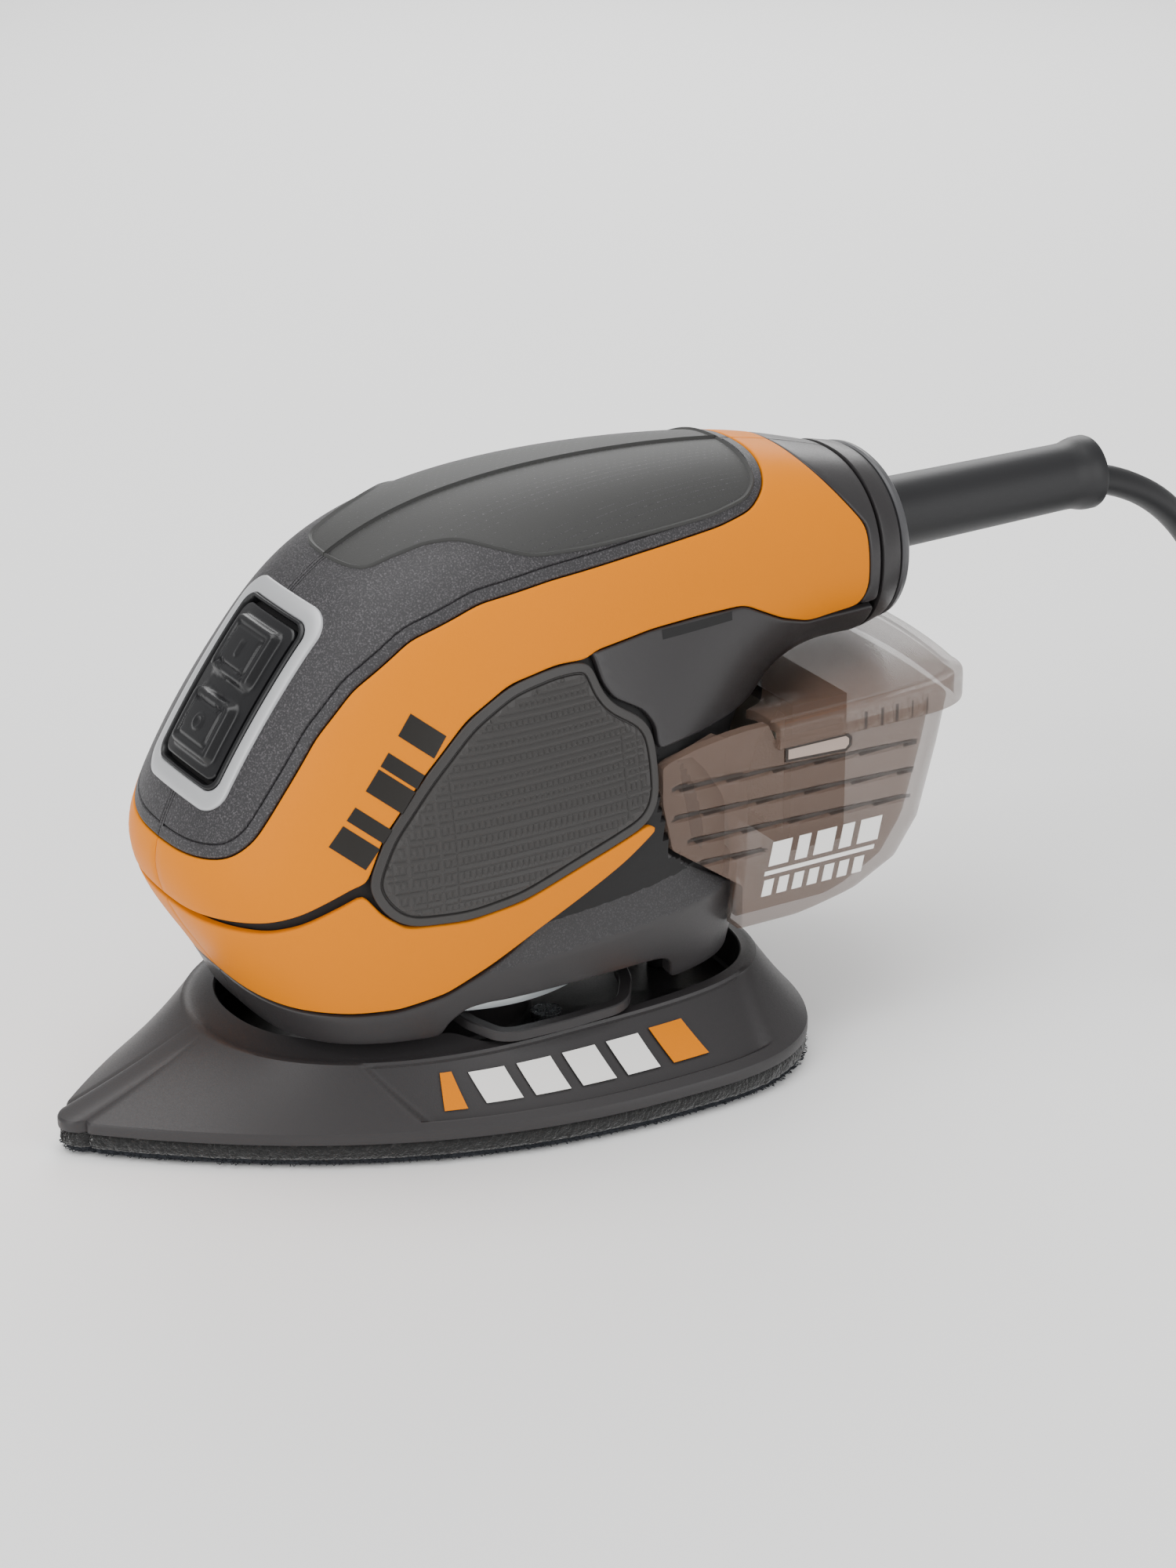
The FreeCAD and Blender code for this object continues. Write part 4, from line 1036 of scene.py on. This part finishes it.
POST = [(2.2, 9.0), (2.9, 9.4), (3.0, 10.0), (3.0, 17.2), (2.4, 18.0), (2.1, 19.0), (2.1, 24.6), (2.6, 25.2),
        (2.6, 25.9)]
for k, (x, y) in enumerate(((17, -29), (-17, -29), (6.5, 43.3), (-6.5, 43.3))):
    lathe("post_%d" % k, POST, "nylon" if k < 2 else "platen", (x, y, 0), body="platen", nodes=["platen_posts"],
          slot="nylon_white", count=40)


# ---- dust box -----------------------------------------------------------------------------------
TUB_SIDE = 34.2
TUB_FLOOR, TUB_TOP = 27.0, 62.4
FRONT_HALF = 31.9
LID_SIDE, LID_FRONT = 35.4, 49.8
RIB_LINES = [((28, 58.2), (81, 56.2)), ((28, 52.6), (80.5, 50.8)), ((31, 47.4), (79.5, 45.6)),
             ((33.5, 42.6), (48, 42.0))]


def tub_relief(y, z):
    """How far the tub's wall is set in at the long grooves."""
    depth = np.zeros(len(y))
    for (y0, z0), (y1, z1) in RIB_LINES:
        off = np.abs(z - (z0 + (z1 - z0) * (y - y0) / (y1 - y0)))
        ends = smoothstep(y0 - 0.5, y0 + 1.5, y) * (1 - smoothstep(y1 - 1.5, y1 + 0.5, y))
        depth = np.maximum(depth, 0.75 * ends * (1 - smoothstep(0.25, 0.85, off)))
    return depth


def shaded_groove(c):
    """Whether a face lies in one of the tub's long grooves, which get painted shade."""
    return abs(c.x) > 32.5 and any(y0 < c.y < y1 and abs(c.z - z0 - (z1 - z0) * (c.y - y0) / (y1 - y0)) < 0.48
                                   for (y0, z0), (y1, z1) in RIB_LINES)


def shaded_rib_foot(c):
    """Whether a face lies at the foot of one of the lid's finger ribs, which gets painted shade."""
    return abs(c.x) > 34.4 and 61.9 < c.z < 65.1 and 66 < c.y < 83 and abs((c.y - 65.3) % 3.4 - 3.2) < 0.34


def box_ring(z, wall):
    """Plan outline of the tub at a height: cheeks, round rear corners and a front that follows the housing."""
    front = float(np.interp(z, [27, 36, 46.5, 56, 62.8], [43, 43, 28, 25.9, 25.8]))
    rear = float(np.interp(z, [27, 29.5, 33.5, 40, 54, 62.8], [60, 73, 81, 85.5, 89.3, 91.2])) - wall
    half = TUB_SIDE - wall * 1.05
    corner = 9.0
    ys = np.linspace(front, rear - corner, 62)
    side = np.column_stack([np.full(62, half), ys])
    bend = np.radians(np.linspace(0, 90, 18))[1:]
    arc = np.column_stack([half - corner + corner * np.cos(bend) ** 0.9, rear - corner + corner * np.sin(bend)])
    across = np.linspace(1, 0, 22)[1:]
    bow = np.column_stack([(half - corner) * across, rear + 1.6 * (1 - across ** 2)])
    outer = mirrored(np.vstack([side, arc, bow]))
    my, _, _, _, reach, hw, _, n_in = frames_at(np.interp([z], [r[0][1] for r in BODY_ROWS[:9]], range(9)))
    inner_x = np.linspace(-FRONT_HALF, FRONT_HALF, 46)
    share = np.clip(1 - np.abs(inner_x / hw[0]) ** n_in[0], 0, None) ** (1 / n_in[0])
    inner_y = np.maximum(my[0] + reach[0] * share + 0.9 + wall, front)
    if wall:
        inner_x = inner_x * (half / FRONT_HALF)
    else:
        inner_y = front + (inner_y - front) * np.clip((FRONT_HALF - np.abs(inner_x)) / 0.2, 0, 1)
    return outer, np.column_stack([inner_x, inner_y])


def swoop(flat, z):
    """The cheeks' upper edge climbs towards the lid."""
    climb = np.interp(flat[:, 1], [25.8, 27, 33, 40, 44, 48.4, 49.5], [0.4, 1.2, 2.7, 3.7, 4.0, 4.0, 0.0])
    return z + climb * (np.abs(flat[:, 0]) > 30.5) * float(smoothstep(57.5, 62.4, z))


def make_tub():
    """The tub's outside from the bottom up and its inside back down."""
    rings = []
    for z in [*np.linspace(TUB_FLOOR, 40.5, 26), *np.arange(40.9, 59.6, 0.36), *np.linspace(60, TUB_TOP, 5)]:
        outer, inner = box_ring(z, 0)
        edge = min(1.0, (z - TUB_FLOOR) / 1.2)
        soft = 1.4 * (1 - math.sqrt(max(0.0, 1 - (1 - edge) ** 2)))
        away = outer - np.array([0, 58.0])
        away[:, 0] = np.clip(away[:, 0], -30, 30)
        away = np.where(np.abs(outer[:, :1]) > 33.9, np.sign(outer[:, :1]) * [1, 0], unit(away))
        flat = np.vstack([outer - away * (tub_relief(outer[:, 1], z) + soft)[:, None], inner])
        rings.append(level(flat, swoop(flat, z)))
    for z in [*np.linspace(TUB_TOP, 41, 14), *np.linspace(39, 29.2, 14)]:
        outer, inner = box_ring(z, 2.0)
        low = np.interp(np.abs(outer[:, 0]), inner[23:, 0], inner[23:, 1])
        outer[:, 1] = np.maximum(outer[:, 1], np.where(np.abs(outer[:, 0]) > 31, inner[0, 1], low))
        flat = np.vstack([outer, inner])
        rings.append(level(flat, swoop(flat, z)))
    # The faces in the long grooves get the darker smoke as painted shade.
    stack("tub_shell", rings, "smoke", body="dust_box", nodes=["dust_box_tub"], slot="smoke_clear", sharp=40,
          second=("smoke_dark_and_shade", shaded_groove))


def lid_outer(offset):
    """Plan outline of the lid from its left front end round the rear to its right front end."""
    side = np.column_stack([np.full(100, LID_SIDE), np.linspace(LID_FRONT, 82, 100)])
    bend = np.radians(np.linspace(0, 90, 20))[1:]
    arc = np.column_stack([25.4 + 10 * np.cos(bend) ** 0.85, 82 + 12.6 * np.sin(bend) ** 0.95])
    across = np.linspace(1, 0, 24)[1:]
    bow = np.column_stack([25.4 * across, 94.6 + 2.8 * (1 - across ** 2)])
    half = np.vstack([side, arc, bow])
    ahead = unit(np.gradient(half, axis=0))
    offset = np.full(len(half), offset) if np.ndim(offset) == 0 else offset[:len(half)]
    half = half - np.column_stack([ahead[:, 1], -ahead[:, 0]]) * offset[:, None]
    half[-1, 0] = 0
    return mirrored(half)


def lid_inner(count):
    """The lid's edge towards the housing, with as many points as its outer edge."""
    ys = np.linspace(LID_FRONT, 64.9, 80)
    half = np.column_stack([body_x(ys, np.full(80, 66.4)) + 0.9, ys])
    half[-1, 0] = 0
    half = resample(half, np.linalg.norm(np.diff(half, axis=0), axis=1).sum() / (count // 2))[:count // 2 + 1]
    half[-1, 0] = 0
    return mirrored(half)


def lid_top(flat):
    """Height of the lid's top, lower in the middle where the tail passes over it."""
    x, y = flat.T
    plain = np.interp(y, [45.4, 70, 90, 98], [66.1, 66.5, 67.4, 67.5])
    under = np.interp(y, [58, 62, 66, 71, 76, 82, 84, 90], [63, 64.2, 66.0, 67.0, 67.4, 67.2, 67.5, 70])
    near = 1 - smoothstep(15, 28, np.abs(x))
    return plain + near * (np.minimum(under, plain) - plain)


def make_lid():
    """The lid: a band with finger ribs, a rounded top edge with a groove, the top, and its underside."""
    start = lid_outer(3.3)
    count = len(start)
    inner = lid_inner(count)
    edge = lid_outer(0)
    top = lid_top(edge)
    grip = np.zeros(count)
    for k in range(6):
        grip = np.maximum(grip, 1 - smoothstep(0.45, 1.0, np.abs(edge[:, 1] - (63.2 + 3.4 * k))))
    grip *= np.abs(edge[:, 0]) > 33
    rings = [level(lid_outer(offset), z) for offset, z in ((1.6, 61.5), (0.45, 61.5), (0.1, 61.75))]
    ribs = [(0.2, 62.3), (0.5, 62.8), (0.5, 64.8), (0.2, 65.2)]
    rings += [level(lid_outer(-grip * out), z) for out, z in ribs]
    rings += [level(lid_outer(offset), top + lift) for offset, lift in
              ((0.08, -0.6), (0.35, -0.18), (0.8, 0), (2.5, 0.05), (2.75, -0.25), (3.05, -0.25), (3.3, 0.1))]
    for share in np.linspace(0.04, 1.0, 24):
        flat = start * (1 - share) + inner * share
        swell = 0.2 * math.sin(math.pi * min(1, share * 1.2)) * smoothstep(84, 92, flat[:, 1])
        rings.append(level(flat, lid_top(flat) + 0.1 * (1 - share) + swell))
    for share in np.linspace(1.0, 0.04, 14):
        flat = start * (1 - share) + inner * share
        rings.append(level(flat, lid_top(flat) - 1.7))
    rings.append(level(lid_outer(1.6), top - 1.7))
    total = len(rings)
    faces = ring_faces(count, total, closed_ring=False, closed_stack=True)
    faces.append(tuple(r * count for r in range(total)))
    faces.append(tuple(r * count + count - 1 for r in reversed(range(total))))
    # The faces at the feet of the finger ribs get the darker smoke as painted shade.
    piece("lid_shell", np.vstack(rings), faces, "smoke", body="dust_lid", nodes=["dust_box_lid"],
          slot="smoke_clear", sharp=40, second=("smoke_dark_and_shade", shaded_rib_foot))


make_tub()
make_lid()


def flat_mark(name, corners, mat="print_light", out=0.02, thick=0.06):
    """A thin printed shape on the tub's cheeks, from its corners (y, z)."""
    n = len(corners)
    points = [(TUB_SIDE + out + lift, y, z) for lift in (-0.04, thick) for y, z in corners]
    faces = ring_faces(n, 2) + [tuple(reversed(range(n))), tuple(range(n, 2 * n))]
    pair(name, points, faces, mat, body="dust_box", slot="bezel_grey", sharp=20)


def leaning(y, wide, low, high, lean):
    """Corners of an upright bar that leans rearwards."""
    return [(y, low), (y + wide, low), (y + wide + lean, high), (y + lean, high)]


flat_mark("latch_frame", [(51.6, 58.5), (64.8, 57.9), (66.0, 58.9), (66.0, 60.6), (64.9, 61.4), (51.6, 61.4)],
          "smoke_dark_and_shade", out=0.04, thick=0.25)
flat_mark("latch_slot", [(52.2, 59.0), (64.6, 58.5), (65.3, 59.2), (65.3, 60.3), (64.6, 60.9), (52.2, 60.9)],
          "smoke_pale", out=0.26)
for k, (y0, wide) in enumerate(((48.5, 4.2), (54.2, 2.6), (58.2, 4.2), (63.8, 2.6), (67.8, 4.6))):
    flat_mark("box_bar_%d" % k, leaning(y0, wide, 38.6, 43.2, 1.0))
flat_mark("box_line", leaning(47.6, 24.0, 36.9, 37.7, 0.2))
for k in range(7):
    flat_mark("box_dash_%d" % k, leaning(47.0 + 3.3 * k, 2.1, 32.9, 36.0, 0.7))


def make_filter():
    """Pleated filter block."""
    across = np.linspace(-18.2, 18.2, 49)
    fold = np.arange(49) % 2
    front = np.column_stack([across, np.where(fold, 62.6, 64.2)])
    back = np.column_stack([across, np.where(fold, 73.4, 71.8)])
    outline = np.vstack([front, back[::-1]])
    stack("filter_pleats", [level(outline, z) for z in (36.1, 59.9)], "filter", body="dust_box",
          nodes=["filter_element"], slot="filter_media", sharp=20)


make_filter()


# ---- tail, sleeve and plug ----------------------------------------------------------------------
SLEEVE_Z = 87.0


def oval(y, half_x, half_z, power=2.0, mid_x=0.0, mid_z=SLEEVE_Z, count=120):
    """A ring across Y, between an ellipse (power 2) and a rounded box."""
    angle = 2 * np.pi * np.arange(count) / count
    s, c = np.sin(angle), np.cos(angle)
    r = (np.abs(s / half_x) ** power + np.abs(c / half_z) ** power) ** (-1 / power)
    return np.column_stack([mid_x + r * s, np.full(count, y), mid_z + r * c])


def tail_ring(y, inset):
    """The tail's section at y, shrinking towards its end."""
    share = (y - 82) / 7.6
    low, high = 68 + 1.4 * share + inset, 103.4 - 1.6 * share - inset
    return oval(y, 20 - 2.0 * share - inset, (high - low) / 2, 2.2 - 0.1 * share, mid_z=(low + high) / 2)


CAP_SECTION = [(82.2, 1.0), (82.25, 0.5), (82.5, 0.12), (83.0, 0.0), (86.4, 0.0), (86.9, 0.1), (87.2, 0.5),
               (87.25, 1.4)]
COLLAR_SECTION = [(87.4, 0.9), (87.55, 0.25), (88.0, -0.1), (88.9, -0.1), (89.35, 0.2), (89.5, 0.8),
                  (89.45, 1.9), (88.7, 2.4)]
BORE_R = 5.6
tube("cap_ring", [oval(82.2, BORE_R, BORE_R)] + [tail_ring(*at) for at in CAP_SECTION]
     + [oval(87.25, BORE_R, BORE_R)], "smooth_dark", nodes=["tail_cap"], slot="dark_smooth", sharp=40)
tube("collar_lip", [oval(87.4, BORE_R, BORE_R)] + [tail_ring(*at) for at in COLLAR_SECTION]
     + [oval(88.6, 9.0, 9.0), oval(88.8, BORE_R, BORE_R)], "collar", nodes=["tail_collar"], slot="dark_smooth",
     sharp=40)
SLEEVE = [(2.9, 78.0), (4.9, 78.0), (5.3, 78.4), (5.3, 88.9), (7.3, 89.2), (7.35, 90.4), (7.05, 91.4),
          (6.95, 96), (6.45, 136.5), (6.5, 138.6), (6.9, 140.0), (7.15, 141.2), (7.2, 142.0), (7.2, 143.3),
          (7.0, 143.8), (6.5, 144.0), (4.4, 144.0), (3.6, 143.6), (2.92, 142.6), (2.92, 131.2)]
lathe("sleeve_tube", SLEEVE, "cable", (0, 0, SLEEVE_Z), axis="y", nodes=["cord_sleeve"], slot="cable", count=72,
      sharp=45)


def make_plug():
    """Flat two-pin plug with a ribbed grip and a tapered strain relief."""
    rows = [(158.0, 16.6, 6.0, 4), (158.5, 17.3, 6.3, 4), (166, 17.5, 6.4, 4), (173, 16.4, 6.3, 3.6)]
    for k in range(13):
        high = k % 2
        rows.append((175 + k, 15.9 - 0.12 * k + 0.5 * high, 5.75 + 0.45 * high, 3.2))
    rows += [(189.5, 12.5, 5.6, 2.8), (192.5, 7.5, 4.9, 2.3), (194, 4.8, 4.6, 2.0)]
    for k in range(8):
        radius = 3.8 - 0.06 * k + 0.5 * (k % 2)
        rows.append((195 + 1.5 * k, radius, radius, 2.0))
    rows += [(207.6, 3.5, 3.5, 2.0), (208.0, 3.2, 3.2, 2.0)]
    stack("plug_grip", [oval(*row, PLUG_X, PLUG_Z, 72) for row in rows], "cable", nodes=["plug_body"],
          slot="cable", sharp=40)
    for side, word in ((1, "left"), (-1, "right")):
        foot = (PLUG_X + side * 9.5, 0, PLUG_Z)
        lathe("pin_tip_" + word, [(1.2, 139.0), (1.7, 139.4), (2.0, 140.3), (2.0, 149.6), (1.6, 149.9)],
              "steel", foot, axis="y", nodes=["plug_pins"], slot="pin_metal", count=32)
        lathe("pin_root_" + word, [(1.6, 149.8), (1.9, 149.8), (1.9, 157.6), (1.6, 158.1)], "cable", foot,
              axis="y", slot="cable", count=32)


make_plug()
make_cord()


def surface_mark(name, corners, mat, slot, high=0.07, count=8):
    """A thin printed shape, or a dark sheet of painted shade, on both sides of the body, from its four corners
    (y, z).
    """
    t, turn, _ = from_side(corner_grid(corners, count))
    at, up = surface(t, turn), normals(t, turn)
    pair(name, np.vstack([at - 0.05 * up, at + high * up]), sheet_faces(count), mat, slot=slot)


NAME_RUN = np.array([17.0, 21.2])
for k, share in enumerate((0.0, 0.2, 0.42, 0.6, 0.82)):
    upper = np.array([-38.4, 61.0]) + NAME_RUN * share
    lower = upper + [5.2, -4.2]
    along = NAME_RUN * (0.1 if k % 2 else 0.16)
    corners = [upper, upper + along, lower + along, lower]
    surface_mark("side_bar_%d" % k, corners, "print_dark", "orange_plastic")
# The vent slot is a flat near-black sheet: painted shade where the opening is.
surface_mark("vent_slot", [(28.6, 85.2), (45, 84.6), (45, 86.2), (28.6, 86.9)], "liner_shade", "dark_smooth",
             high=0.03)

CAD_LOOKS = {
    "steel": ("platen_bearing", "platen_screws", "armature_shaft", "lower_bearing", "upper_bearing",
              "eccentric_hub", "brush_springs", "housing_screws"),
    "iron": ("motor_stator", "armature_core"),
    "copper": ("field_coils", "armature_winding", "commutator"),
    "zinc": ("cooling_fan", "counterweight"),
    "smooth_dark": ("switch_body", "cord_clamp", "dust_spigot", "filter_frame"),
    "brass": ("brush_holders",),
    "carbon": ("brushes",),
    "film": ("suppressor",),
    "cable": ("inner_lead",),
    "tie": ("cord_tie",),
}
for look, nodes in CAD_LOOKS.items():
    for node in nodes:
        mesh = bpy.data.objects[node].data
        mesh.materials.clear()
        mesh.materials.append(MATERIALS[look])
